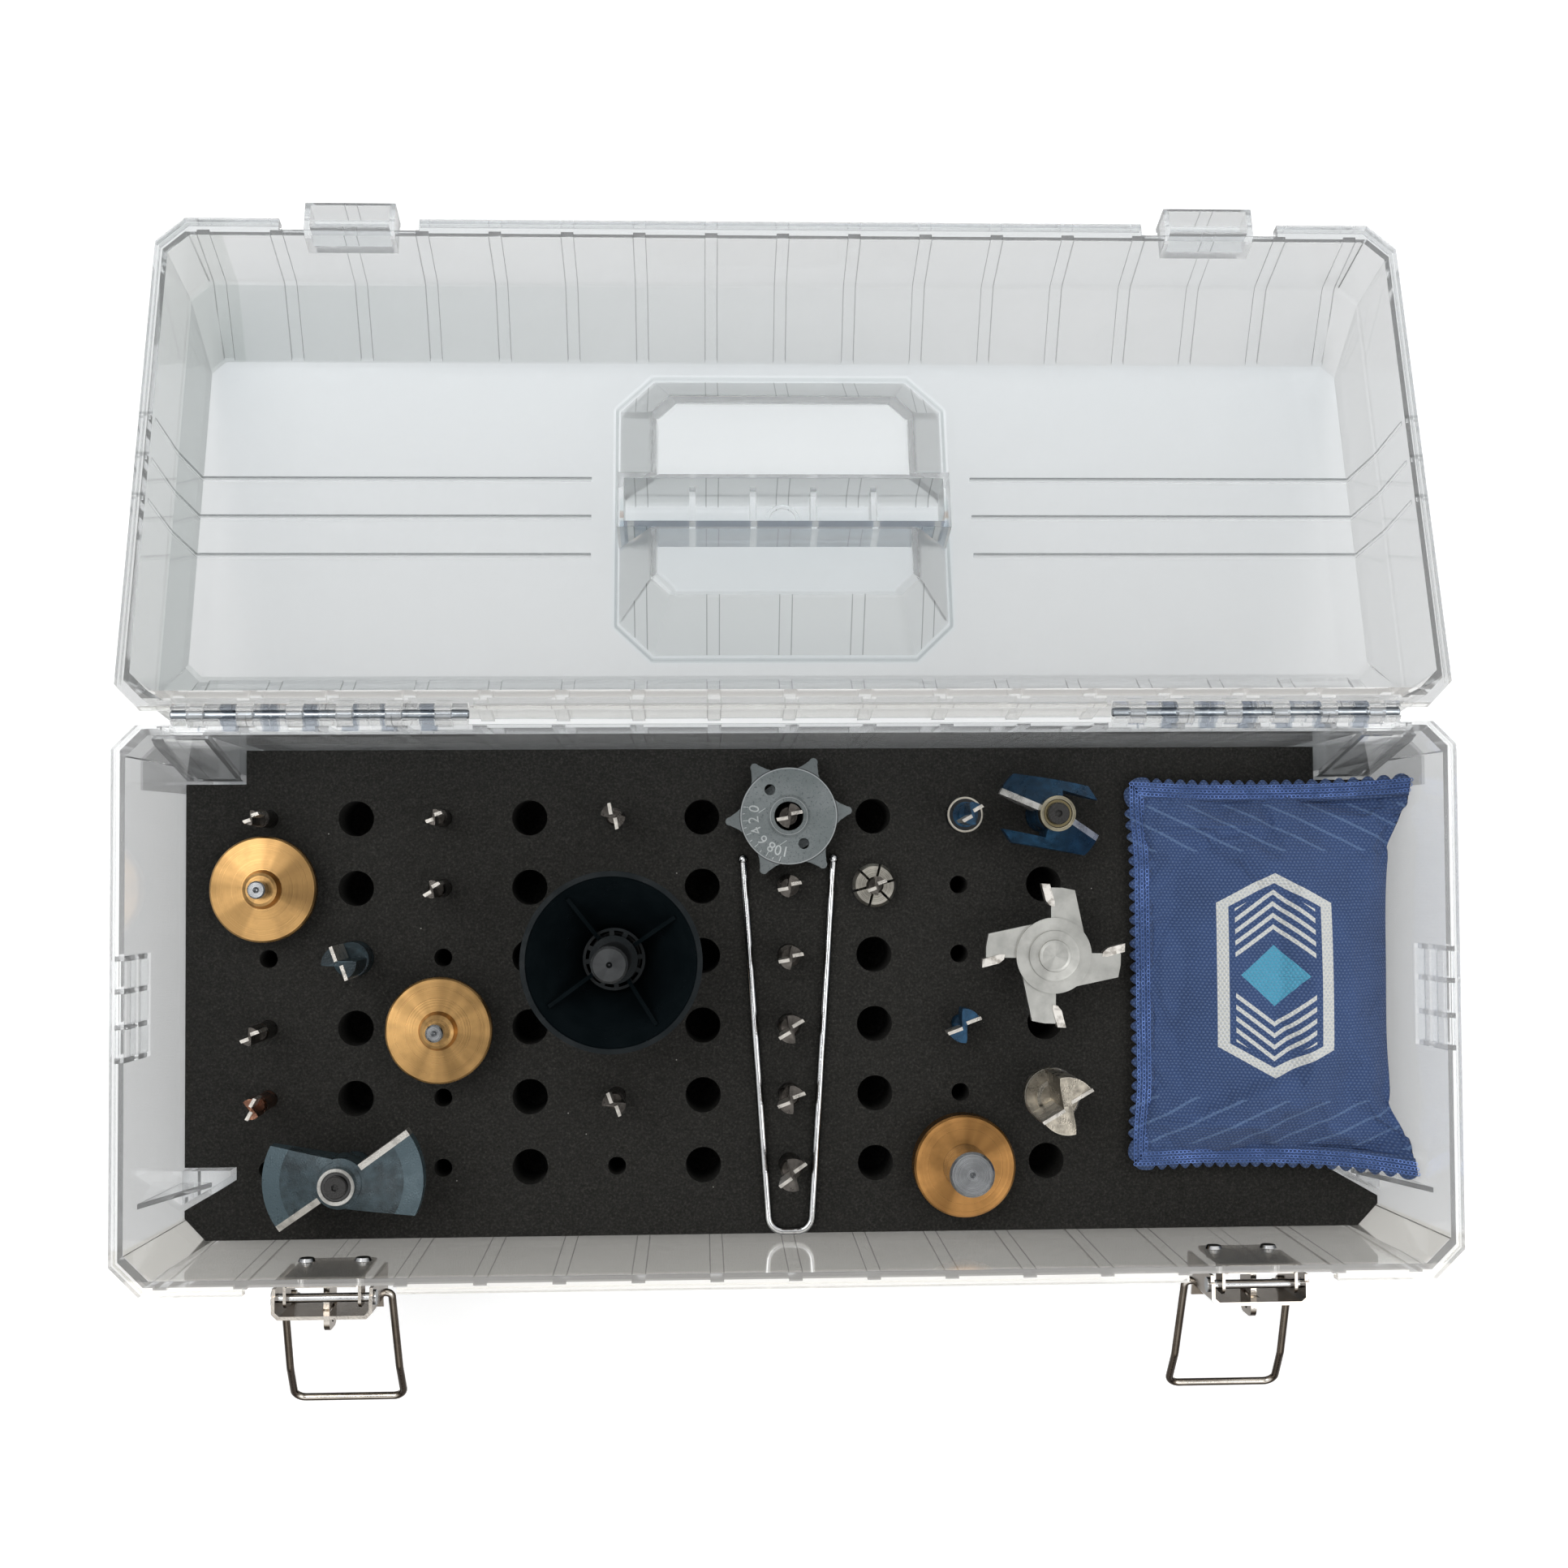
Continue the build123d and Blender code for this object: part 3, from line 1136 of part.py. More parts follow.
with BuildPart() as pouch:
    for i in range(sections):
        y = pouch_front + (pouch_back - pouch_front) * (0.5 - 0.5 * math.cos(math.pi * i / (sections - 1)))
        low, high = pouch_section(y)
        with BuildSketch(Plane(origin=(0, y, 0), x_dir=(1, 0, 0), z_dir=(0, -1, 0))):
            with BuildLine():
                Spline(*low)
                Line(low[-1], high[0])
                Spline(*high)
                Line(high[-1], low[0])
            make_face()
    loft()
save("pouch", pouch.part)
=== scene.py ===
import math

import bmesh
import bpy
from mathutils import Matrix, Vector, noise


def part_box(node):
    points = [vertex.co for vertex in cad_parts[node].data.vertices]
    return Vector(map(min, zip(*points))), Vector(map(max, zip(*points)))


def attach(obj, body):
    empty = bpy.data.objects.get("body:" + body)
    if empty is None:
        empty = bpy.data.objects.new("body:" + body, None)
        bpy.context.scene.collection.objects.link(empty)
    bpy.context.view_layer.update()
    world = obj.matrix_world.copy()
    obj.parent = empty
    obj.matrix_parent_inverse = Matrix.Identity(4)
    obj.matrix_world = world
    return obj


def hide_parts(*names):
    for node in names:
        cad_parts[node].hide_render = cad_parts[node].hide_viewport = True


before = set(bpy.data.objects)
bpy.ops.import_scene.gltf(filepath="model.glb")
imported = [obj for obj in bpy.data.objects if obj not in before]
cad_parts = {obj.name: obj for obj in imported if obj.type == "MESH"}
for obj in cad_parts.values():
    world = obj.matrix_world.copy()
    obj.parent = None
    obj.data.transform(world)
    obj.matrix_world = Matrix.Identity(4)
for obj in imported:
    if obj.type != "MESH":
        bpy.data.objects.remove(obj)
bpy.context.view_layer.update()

bl_info = {
    "name": "Router Bit Storage Case",
    "version": (1, 0, 0),
    "blender": (4, 5, 0),
    "location": "View3D > Sidebar > Bit Case",
    "description": "Builds the looks of a clear router bit storage case around its packed frame",
    "category": "Object",
}

MM = 0.001
POUCH_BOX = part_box("pouch")

# The socket grid of the foam, as the frame holds it
FIRST_COLUMN_X = -0.1884
FIRST_ROW_Y = 0.0646
COLUMN_PITCH = 0.0315
ROW_PITCH = 0.0254
FOAM_TOP = 0.038

# The open lid, measured from its hinge: its lean, its handle recess's middle and what is moulded round it
LID_LEAN = math.radians(16.384)
LID_HINGE = (0.0, 0.09855, 0.09715)
RECESS_MIDDLE = 0.09805
GRIP_HALF_WIDTH = 0.0111
GROOVE_PITCH = 0.0158
RIB_PITCH = 0.0265

# Painted highlight and dark reflections of plated metal: shares of its colour, from a face seen square on to one
# seen edge on
NICKEL_PAINTED_SHINE = [
    (0.0, (1.0, 1.0, 1.0)), (0.10, (1.0, 1.0, 1.0)), (0.24, (0.30, 0.26, 0.22)), (0.42, (0.05, 0.04, 0.035)),
    (0.66, (0.07, 0.06, 0.05)), (0.82, (0.38, 0.33, 0.28))]
STEEL_PAINTED_SHINE = [
    (0.0, (1.0, 1.0, 1.0)), (0.24, (1.0, 1.0, 1.0)), (0.46, (0.15, 0.16, 0.17)), (0.85, (0.35, 0.36, 0.37))]
PIN_PAINTED_SHINE = [
    (0.0, (1.0, 1.0, 1.0)), (0.20, (1.0, 1.0, 1.0)), (0.40, (0.05, 0.06, 0.07)), (0.85, (0.30, 0.33, 0.36))]

# Two-flute cutters: column, row, where the plates start above the foam, tip radius, facing in degrees
FLUTED = {
    "bit_fluted_a": (0, 0, 16.0, 2.6, 200), "bit_fluted_b": (0, 3, 15.0, 3.2, 20),
    "bit_point": (0, 4, 18.0, 3.6, 60), "bit_fluted_c": (2, 0, 14.0, 2.8, 200),
    "bit_fluted_d": (2, 1, 18.0, 3.1, 30), "bit_dovetail_small": (4, 0, 16.0, 4.4, 100),
    "bit_dovetail_plain": (4, 4, 15.0, 4.2, 110), "bit_straight_half_inch": (1, 2, 12.0, 6.0, 110),
    "bit_straight_short": (8, 3, 3.0, 6.2, 20), "bit_straight_collared": (8, 0, 24.0, 4.0, 30),
    "bit_large_silver": (9, 4, 20.0, 10.0, 30), "bit_dial": (6, 0, 8.0, 4.4, 10),
    "bit_dovetail_one": (6, 1, 4.0, 4.0, 10), "bit_dovetail_two": (6, 2, 9.0, 4.2, 10),
    "bit_dovetail_three": (6, 3, 8.0, 5.0, 30), "bit_dovetail_four": (6, 4, 6.0, 5.0, 20),
    "bit_dovetail_five": (6, 5, 13.0, 5.8, 35), "bit_collet": (7, 1, 8.0, 3.4, 20),
}

# Carbide plates: where they start above a cutter's shoulder, and the share of its radius that they leave bare
PLATE_START = 2.0
PLATE_WEB = 0.16

# Pouch, in millimetres: its pinked edge, its left seam's height, and its right end on the case's wall
TOOTH_PITCH = 4.65
TOOTH_DEPTH = 2.2
LEFT_SEAM = 43.4
RIGHT_END = 75.0
RIGHT_SAG = 13.0


def socket(column, row):
    """Centre of a socket on the foam's top face."""
    return Vector((FIRST_COLUMN_X + column * COLUMN_PITCH, FIRST_ROW_Y - row * ROW_PITCH, FOAM_TOP))


# Node helpers. A value or a colour is a socket of another node, or a number or three numbers of its own.


def links_of(tree):
    """Functions that add a node to a tree and join two sockets."""
    def add(kind, **values):
        node = tree.nodes.new(kind)
        for key, value in values.items():
            if hasattr(node, key):
                setattr(node, key, value)
        return node

    def join(source, target):
        tree.links.new(source, target)
    return add, join


def new_group(name, inputs, outputs):
    """An empty shader node group with named sockets, its input node and its output node."""
    group = bpy.data.node_groups.new(name, "ShaderNodeTree")
    for label, kind, default in inputs:
        socket_in = group.interface.new_socket(label, in_out="INPUT", socket_type=kind)
        if default is not None:
            socket_in.default_value = default
    for label, kind in outputs:
        group.interface.new_socket(label, in_out="OUTPUT", socket_type=kind)
    source = group.nodes.new("NodeGroupInput")
    result = group.nodes.new("NodeGroupOutput")
    return group, source, result


def made_once(name, build):
    """A node group by its name, built where there is none yet."""
    return bpy.data.node_groups.get(name) or build(name)


def feed(join, value, target):
    """Gives an input its number or its colour, or joins a socket to it."""
    if isinstance(value, (int, float)):
        target.default_value = value
    elif isinstance(value, tuple):
        target.default_value = (*value, 1.0)
    else:
        join(value, target)


def noise_node(add, join, vector, scale, detail=4.0, roughness=0.55):
    """A noise texture fed by a vector and a scale."""
    node = add("ShaderNodeTexNoise")
    join(vector, node.inputs["Vector"])
    feed(join, scale, node.inputs["Scale"])
    node.inputs["Detail"].default_value = detail
    node.inputs["Roughness"].default_value = roughness
    return node


def math_node(add, join, operation, first, second=None):
    """A math node over one or two values."""
    node = add("ShaderNodeMath", operation=operation)
    feed(join, first, node.inputs[0])
    if second is not None:
        feed(join, second, node.inputs[1])
    return node.outputs[0]


def inside_band(add, join, value, low, high):
    """1 where a value lies between two limits."""
    above = math_node(add, join, "GREATER_THAN", value, low)
    below = math_node(add, join, "LESS_THAN", value, high)
    return math_node(add, join, "MULTIPLY", above, below)


def mix_node(add, join, factor, first, second):
    """Mixes two colours."""
    node = add("ShaderNodeMix", data_type="RGBA")
    join(factor, node.inputs["Factor"])
    feed(join, first, node.inputs["A"])
    feed(join, second, node.inputs["B"])
    return node.outputs["Result"]


def ramp_node(add, join, value, stops):
    """A colour ramp over a value, from position and colour pairs."""
    node = add("ShaderNodeValToRGB")
    join(value, node.inputs["Fac"])
    elements = node.color_ramp.elements
    while len(elements) < len(stops):
        elements.new(0.5)
    for element, (place, colour) in zip(elements, stops):
        element.position = place
        element.color = (*colour, 1.0) if len(colour) == 3 else colour
    return node.outputs["Color"]


def times(add, join, first, second, factor=1.0):
    """Multiplies a colour by another, wholly or by a share."""
    node = add("ShaderNodeMix", data_type="RGBA", blend_type="MULTIPLY")
    feed(join, factor, node.inputs["Factor"])
    feed(join, first, node.inputs["A"])
    feed(join, second, node.inputs["B"])
    return node.outputs["Result"]


def remap(add, join, value, low, high, first=0.0, second=1.0, **kind):
    """Maps a value from one range to another."""
    node = add("ShaderNodeMapRange", **kind)
    join(value, node.inputs["Value"])
    for label, limit in (("From Min", low), ("From Max", high), ("To Min", first), ("To Max", second)):
        feed(join, limit, node.inputs[label])
    return node.outputs["Result"]


def split(add, join, vector):
    """The X, Y and Z of a vector."""
    parts = add("ShaderNodeSeparateXYZ")
    join(vector, parts.inputs[0])
    return parts.outputs["X"], parts.outputs["Y"], parts.outputs["Z"]


def level(add, join, vector):
    """A vector laid flat, with no height."""
    flat = add("ShaderNodeVectorMath", operation="MULTIPLY")
    join(vector, flat.inputs[0])
    flat.inputs[1].default_value = (1.0, 1.0, 0.0)
    return flat.outputs[0]


def axis_distance(add, join, vector):
    """How far a point lies from the upright axis through the vector's origin."""
    length = add("ShaderNodeVectorMath", operation="LENGTH")
    join(level(add, join, vector), length.inputs[0])
    return length.outputs["Value"]


def dot(add, join, first, second):
    """Dot product of two vectors."""
    node = add("ShaderNodeVectorMath", operation="DOT_PRODUCT")
    join(first, node.inputs[0])
    join(second, node.inputs[1])
    return node.outputs["Value"]


def bump_node(add, join, height, strength, distance):
    """A normal from a height."""
    bump = add("ShaderNodeBump")
    bump.inputs["Distance"].default_value = distance
    feed(join, strength, bump.inputs["Strength"])
    join(height, bump.inputs["Height"])
    return bump.outputs["Normal"]


def new_material(name):
    """A material with one Principled shader on its output, its node helpers and that shader."""
    material = bpy.data.materials.new(name)
    material.use_nodes = True
    tree = material.node_tree
    tree.nodes.clear()
    add, join = links_of(tree)
    output = add("ShaderNodeOutputMaterial")
    shader = add("ShaderNodeBsdfPrincipled")
    join(shader.outputs[0], output.inputs["Surface"])
    return material, add, join, shader


def place_group(add, join, group, vector=None, **values):
    """Places a group node, feeds its vector and sets its named inputs."""
    node = add("ShaderNodeGroup")
    node.node_tree = group
    if vector is not None:
        join(vector, node.inputs["Vector"])
    for key, value in values.items():
        node.inputs[key].default_value = value
    return node


def object_vector(add, join, centre=None):
    """Object coordinates, moved so that a piece's own axis is at the origin."""
    coordinates = add("ShaderNodeTexCoord").outputs["Object"]
    if centre is None:
        return coordinates
    mapping = add("ShaderNodeMapping")
    mapping.inputs["Location"].default_value = -Vector(centre)
    join(coordinates, mapping.inputs["Vector"])
    return mapping.outputs["Vector"]


# Shader node groups


def grain_group(name):
    """Fine grain: a roughness that varies and a normal from noise at two sizes."""
    group, source, result = new_group(
        name,
        [("Vector", "NodeSocketVector", None), ("Coarse", "NodeSocketFloat", 60.0),
         ("Fine", "NodeSocketFloat", 900.0), ("Depth", "NodeSocketFloat", 0.2),
         ("Low", "NodeSocketFloat", 0.3), ("High", "NodeSocketFloat", 0.5)],
        [("Roughness", "NodeSocketFloat"), ("Normal", "NodeSocketVector")])
    add, join = links_of(group)
    coarse = noise_node(add, join, source.outputs["Vector"], source.outputs["Coarse"])
    fine = noise_node(add, join, source.outputs["Vector"], source.outputs["Fine"], detail=2.0)
    join(remap(add, join, coarse.outputs["Fac"], 0.3, 0.7, source.outputs["Low"], source.outputs["High"]),
         result.inputs["Roughness"])
    join(bump_node(add, join, fine.outputs["Fac"], source.outputs["Depth"], 0.4 * MM),
         result.inputs["Normal"])
    return group


def turning_group():
    """Turning marks: fine rings round a piece's own axis, which is the vector's origin."""
    group, source, result = new_group(
        "Turning Marks",
        [("Vector", "NodeSocketVector", None), ("Rings", "NodeSocketFloat", 2400.0),
         ("Depth", "NodeSocketFloat", 0.15), ("Low", "NodeSocketFloat", 0.22),
         ("High", "NodeSocketFloat", 0.42)],
        [("Roughness", "NodeSocketFloat"), ("Normal", "NodeSocketVector")])
    add, join = links_of(group)
    ring_point = add("ShaderNodeCombineXYZ")
    join(axis_distance(add, join, source.outputs["Vector"]), ring_point.inputs["X"])
    join(split(add, join, source.outputs["Vector"])[2], ring_point.inputs["Z"])
    rings = noise_node(add, join, ring_point.outputs[0], source.outputs["Rings"], detail=3.0, roughness=0.7)
    join(remap(add, join, rings.outputs["Fac"], 0.3, 0.7, source.outputs["Low"], source.outputs["High"]),
         result.inputs["Roughness"])
    join(bump_node(add, join, rings.outputs["Fac"], source.outputs["Depth"], 0.2 * MM),
         result.inputs["Normal"])
    return group


def painted_sheen_group():
    """Turned faces: painted highlight and shade in sectors round the vector's origin, as lamps draw them on fine
    rings.
    """
    group, source, result = new_group(
        "Painted Turned Sheen",
        [("Vector", "NodeSocketVector", None), ("Spread", "NodeSocketFloat", 1.3),
         ("Low", "NodeSocketFloat", 0.36),
         ("High", "NodeSocketFloat", 0.78), ("Turn", "NodeSocketFloat", 1.2)],
        [("Mask", "NodeSocketFloat")])
    add, join = links_of(group)
    turn = add("ShaderNodeVectorMath", operation="NORMALIZE")
    join(level(add, join, source.outputs["Vector"]), turn.inputs[0])
    tone = noise_node(add, join, turn.outputs[0], source.outputs["Spread"], detail=2.5, roughness=0.45)
    x, y, _ = split(add, join, turn.outputs[0])
    double = math_node(add, join, "MULTIPLY", math_node(add, join, "ARCTAN2", y, x), 2.0)
    lobes = math_node(add, join, "COSINE", math_node(add, join, "SUBTRACT", double, source.outputs["Turn"]))
    light = math_node(add, join, "ADD", tone.outputs["Fac"], math_node(add, join, "MULTIPLY", lobes, 0.15))
    join(remap(add, join, light, source.outputs["Low"], source.outputs["High"],
               interpolation_type="SMOOTHSTEP"),
         result.inputs["Mask"])
    return group


def plate_group():
    """Carbide plates: a mask over the plates of a two-winged cutter whose axis is the vector's origin."""
    group, source, result = new_group(
        "Carbide Plates",
        [("Vector", "NodeSocketVector", None), ("Facing", "NodeSocketFloat", 0.0),
         ("Thickness", "NodeSocketFloat", 1.25 * MM), ("Behind", "NodeSocketFloat", 0.05 * MM),
         ("Inner", "NodeSocketFloat", 1.0 * MM), ("Start", "NodeSocketFloat", 2.0 * MM)],
        [("Mask", "NodeSocketFloat"), ("Radius", "NodeSocketFloat")])
    add, join = links_of(group)
    x, y, z = split(add, join, source.outputs["Vector"])
    cosine = math_node(add, join, "COSINE", source.outputs["Facing"])
    sine = math_node(add, join, "SINE", source.outputs["Facing"])
    along = math_node(
        add, join, "ADD", math_node(add, join, "MULTIPLY", x, cosine),
        math_node(add, join, "MULTIPLY", y, sine))
    across = math_node(
        add, join, "SUBTRACT", math_node(add, join, "MULTIPLY", y, cosine),
        math_node(add, join, "MULTIPLY", x, sine))
    across = math_node(add, join, "MULTIPLY", across, math_node(add, join, "SIGN", along))
    along = math_node(add, join, "ABSOLUTE", along)
    behind = math_node(add, join, "MULTIPLY", source.outputs["Behind"], -1.0)
    mask = inside_band(add, join, across, behind, source.outputs["Thickness"])
    mask = math_node(
        add, join, "MULTIPLY", mask, math_node(add, join, "GREATER_THAN", along, source.outputs["Inner"]))
    high = math_node(add, join, "GREATER_THAN", z, source.outputs["Start"])
    join(math_node(add, join, "MULTIPLY", mask, high), result.inputs["Mask"])
    join(axis_distance(add, join, source.outputs["Vector"]), result.inputs["Radius"])
    return group


def tip_group():
    """Carbide tips: a mask over the four tips of the slot cutter, whose axis is the vector's origin."""
    group, source, result = new_group(
        "Carbide Tips",
        [("Vector", "NodeSocketVector", None), ("Turn", "NodeSocketFloat", math.radians(1)),
         ("Inner", "NodeSocketFloat", 17.5 * MM), ("Top", "NodeSocketFloat", 20.1 * MM),
         ("Proud", "NodeSocketFloat", 0.4 * MM)],
        [("Mask", "NodeSocketFloat")])
    add, join = links_of(group)
    x, y, z = split(add, join, source.outputs["Vector"])
    angle = math_node(add, join, "SUBTRACT", math_node(add, join, "ARCTAN2", y, x), source.outputs["Turn"])
    quarter = math_node(add, join, "ROUND", math_node(add, join, "DIVIDE", angle, math.pi / 2))
    angle = math_node(add, join, "SUBTRACT", angle, math_node(add, join, "MULTIPLY", quarter, math.pi / 2))
    radius = axis_distance(add, join, source.outputs["Vector"])
    along = math_node(add, join, "MULTIPLY", radius, math_node(add, join, "COSINE", angle))
    across = math_node(add, join, "MULTIPLY", radius, math_node(add, join, "SINE", angle))
    far = math_node(add, join, "GREATER_THAN", along, source.outputs["Inner"])
    side = math_node(add, join, "GREATER_THAN", across, -1.1 * MM)
    above = math_node(add, join, "GREATER_THAN", z, source.outputs["Top"])
    proud = math_node(add, join, "GREATER_THAN", across, source.outputs["Proud"])
    mask = math_node(add, join, "MULTIPLY", math_node(add, join, "MULTIPLY", far, side), math_node(
        add, join, "MAXIMUM", above, proud))
    join(mask, result.inputs["Mask"])
    return group


def speck_group():
    """Dust: a mask of a few small specks."""
    group, source, result = new_group(
        "Dust Specks",
        [("Vector", "NodeSocketVector", None), ("Scale", "NodeSocketFloat", 220.0),
         ("Size", "NodeSocketFloat", 0.07)],
        [("Mask", "NodeSocketFloat")])
    add, join = links_of(group)
    cells = add("ShaderNodeTexVoronoi")
    join(source.outputs["Vector"], cells.inputs["Vector"])
    join(source.outputs["Scale"], cells.inputs["Scale"])
    near = math_node(add, join, "LESS_THAN", cells.outputs["Distance"], source.outputs["Size"])
    parts = add("ShaderNodeSeparateColor")
    join(cells.outputs["Color"], parts.inputs[0])
    rare = math_node(add, join, "GREATER_THAN", parts.outputs[0], 0.86)
    join(math_node(add, join, "MULTIPLY", near, rare), result.inputs["Mask"])
    return group


def painted_rib_shade_group():
    """Painted shade at the moulded ribs: thin dark lines at both sides of each rib, on the outer faces of the
    long walls.
    """
    group, source, result = new_group(
        "Painted Rib Edge Shade",
        [("Vector", "NodeSocketVector", None), ("Normal", "NodeSocketVector", None),
         ("Out", "NodeSocketVector", (0.0, 1.0, 0.0)), ("Middle", "NodeSocketFloat", 0.0),
         ("Pitch", "NodeSocketFloat", RIB_PITCH), ("Rib", "NodeSocketFloat", 4.6 * MM),
         ("Line", "NodeSocketFloat", 0.2 * MM), ("Reach", "NodeSocketFloat", 216.5 * MM)],
        [("Mask", "NodeSocketFloat"), ("Flat", "NodeSocketFloat")])
    add, join = links_of(group)
    flat = add("ShaderNodeVectorMath", operation="CROSS_PRODUCT")
    join(source.outputs["Normal"], flat.inputs[0])
    join(source.outputs["Out"], flat.inputs[1])
    flat_share = math_node(add, join, "ABSOLUTE", split(add, join, flat.outputs[0])[0])
    join(math_node(add, join, "GREATER_THAN", flat_share, 0.85), result.inputs["Flat"])
    x = split(add, join, source.outputs["Vector"])[0]
    share = math_node(add, join, "FRACT", math_node(
        add, join, "ADD", math_node(add, join, "DIVIDE", x, source.outputs["Pitch"]), 100.5))
    from_rib = math_node(add, join, "MULTIPLY", math_node(
        add, join, "ABSOLUTE", math_node(add, join, "SUBTRACT", share, 0.5)), source.outputs["Pitch"])
    half = math_node(add, join, "MULTIPLY", source.outputs["Rib"], 0.5)
    from_edge = math_node(add, join, "ABSOLUTE", math_node(add, join, "SUBTRACT", from_rib, half))
    line = math_node(add, join, "LESS_THAN", from_edge, source.outputs["Line"])
    along = dot(add, join, source.outputs["Normal"], source.outputs["Out"])
    place = dot(add, join, source.outputs["Vector"], source.outputs["Out"])
    side = math_node(add, join, "SIGN", math_node(add, join, "SUBTRACT", place, source.outputs["Middle"]))
    facing = math_node(add, join, "GREATER_THAN", math_node(add, join, "MULTIPLY", along, side), 0.45)
    inner = math_node(add, join, "LESS_THAN", math_node(add, join, "ABSOLUTE", x), source.outputs["Reach"])
    join(math_node(add, join, "MULTIPLY", math_node(add, join, "MULTIPLY", line, facing), inner),
         result.inputs["Mask"])
    return group


def recess_group():
    """Handle recess of the lid: its milky walls, a painted dark line round it, and bands of painted reflection
    and shade across its hollow grip.
    """
    group, source, result = new_group(
        "Handle Recess",
        [("Vector", "NodeSocketVector", None), ("Flat", "NodeSocketFloat", 0.0),
         ("Half X", "NodeSocketFloat", 62.5 * MM), ("Half Y", "NodeSocketFloat", 58.35 * MM),
         ("Corner", "NodeSocketFloat", 13.5 * MM), ("Grip", "NodeSocketFloat", -2.5 * MM),
         ("Rib Pitch", "NodeSocketFloat", 22.6 * MM)],
        [("Walls", "NodeSocketFloat"), ("Line", "NodeSocketFloat"), ("Shade", "NodeSocketColor"),
         ("Grip", "NodeSocketFloat"), ("Inside", "NodeSocketFloat")])
    add, join = links_of(group)
    x, y, z = split(add, join, source.outputs["Vector"])
    from_middle = math_node(add, join, "ABSOLUTE", x)
    past_x = math_node(add, join, "SUBTRACT", from_middle, source.outputs["Half X"])
    past_y = math_node(add, join, "SUBTRACT", math_node(add, join, "ABSOLUTE", y), source.outputs["Half Y"])
    cut = math_node(add, join, "ADD", math_node(add, join, "ADD", past_x, past_y), source.outputs["Corner"])
    past = math_node(add, join, "MAXIMUM", math_node(add, join, "MAXIMUM", past_x, past_y), math_node(
        add, join, "MULTIPLY", cut, 0.7071))
    deep = math_node(add, join, "GREATER_THAN", z, 20.0 * MM)
    inside = math_node(add, join, "MULTIPLY", math_node(add, join, "LESS_THAN", past, 1.5 * MM), deep)
    join(inside, result.inputs["Inside"])
    steep = math_node(add, join, "SUBTRACT", 1.0, source.outputs["Flat"])
    join(math_node(add, join, "MULTIPLY", inside, steep), result.inputs["Walls"])
    # Painted shade: a dark line round the recess's edge
    line = math_node(add, join, "LESS_THAN", math_node(add, join, "ABSOLUTE", past), 0.55 * MM)
    join(math_node(add, join, "MULTIPLY", line, deep), result.inputs["Line"])
    across = math_node(add, join, "SUBTRACT", y, source.outputs["Grip"])
    # Painted reflections and shade in bands across the grip: bluish, white and brown
    join(ramp_node(add, join, remap(add, join, across, -GRIP_HALF_WIDTH, GRIP_HALF_WIDTH), [
        (0.0, (0.44, 0.52, 0.62)), (0.10, (0.54, 0.60, 0.68)), (0.14, (1.0, 1.0, 1.0)),
        (0.17, (0.56, 0.42, 0.34)),
        (0.27, (0.62, 0.50, 0.43)), (0.30, (0.80, 0.87, 0.88)), (0.50, (0.88, 0.93, 0.93)),
        (0.56, (1.0, 1.0, 1.0))]),
        result.inputs["Shade"])
    rib_share = math_node(add, join, "FRACT", math_node(
        add, join, "ADD", math_node(add, join, "DIVIDE", x, source.outputs["Rib Pitch"]), 10.0))
    between = math_node(add, join, "GREATER_THAN", math_node(
        add, join, "ABSOLUTE", math_node(add, join, "SUBTRACT", rib_share, 0.5)), 0.055)
    beside = math_node(add, join, "LESS_THAN", math_node(add, join, "ABSOLUTE", across), GRIP_HALF_WIDTH)
    along = math_node(add, join, "LESS_THAN", from_middle, 60.5 * MM)
    grip = math_node(add, join, "MULTIPLY", math_node(add, join, "MULTIPLY", between, beside), math_node(
        add, join, "MULTIPLY", along, deep))
    join(grip, result.inputs["Grip"])
    return group


def weave_group():
    """Woven flecks: offset rows of short raised threads; gives their mask and their height."""
    group, source, result = new_group(
        "Woven Flecks",
        [("Vector", "NodeSocketVector", None), ("Pitch X", "NodeSocketFloat", 0.13),
         ("Pitch Y", "NodeSocketFloat", 0.11)],
        [("Mask", "NodeSocketFloat"), ("Height", "NodeSocketFloat")])
    add, join = links_of(group)
    x, y, _ = split(add, join, source.outputs["Vector"])
    wobble = noise_node(add, join, source.outputs["Vector"], 2.2, detail=2.0)
    shift = math_node(add, join, "MULTIPLY", wobble.outputs["Fac"], 0.10)
    row_share = math_node(
        add, join, "DIVIDE", math_node(add, join, "ADD", y, shift), source.outputs["Pitch Y"])
    row = math_node(add, join, "FLOOR", row_share)
    offset = math_node(add, join, "MULTIPLY", row, 0.5)
    column_share = math_node(add, join, "DIVIDE", x, source.outputs["Pitch X"])
    across = math_node(add, join, "FRACT", math_node(add, join, "ADD", column_share, offset))
    up = math_node(add, join, "FRACT", row_share)
    wave_x = math_node(add, join, "SINE", math_node(add, join, "MULTIPLY", across, math.pi))
    wave_y = math_node(add, join, "SINE", math_node(add, join, "MULTIPLY", up, math.pi))
    height = math_node(add, join, "MULTIPLY", wave_x, wave_y)
    join(remap(add, join, height, 0.45, 0.85), result.inputs["Mask"])
    join(height, result.inputs["Height"])
    return group


# Materials


def zone(add, join, vector, low, high):
    """1 inside a box, given in millimetres for the case's right half, and inside its mirror image."""
    x, y, z = split(add, join, vector)
    mask = inside_band(add, join, math_node(add, join, "ABSOLUTE", x), low[0] * MM, high[0] * MM)
    for value, least, most in ((y, low[1], high[1]), (z, low[2], high[2])):
        mask = math_node(add, join, "MULTIPLY", mask, inside_band(add, join, value, least * MM, most * MM))
    return mask


def shaded(add, join, value, low, high, first, second):
    """A colour that fades between two tints as a coordinate runs between two limits in millimetres, for painted
    light and shade.
    """
    return mix_node(add, join, remap(add, join, value, low * MM, high * MM), first, second)


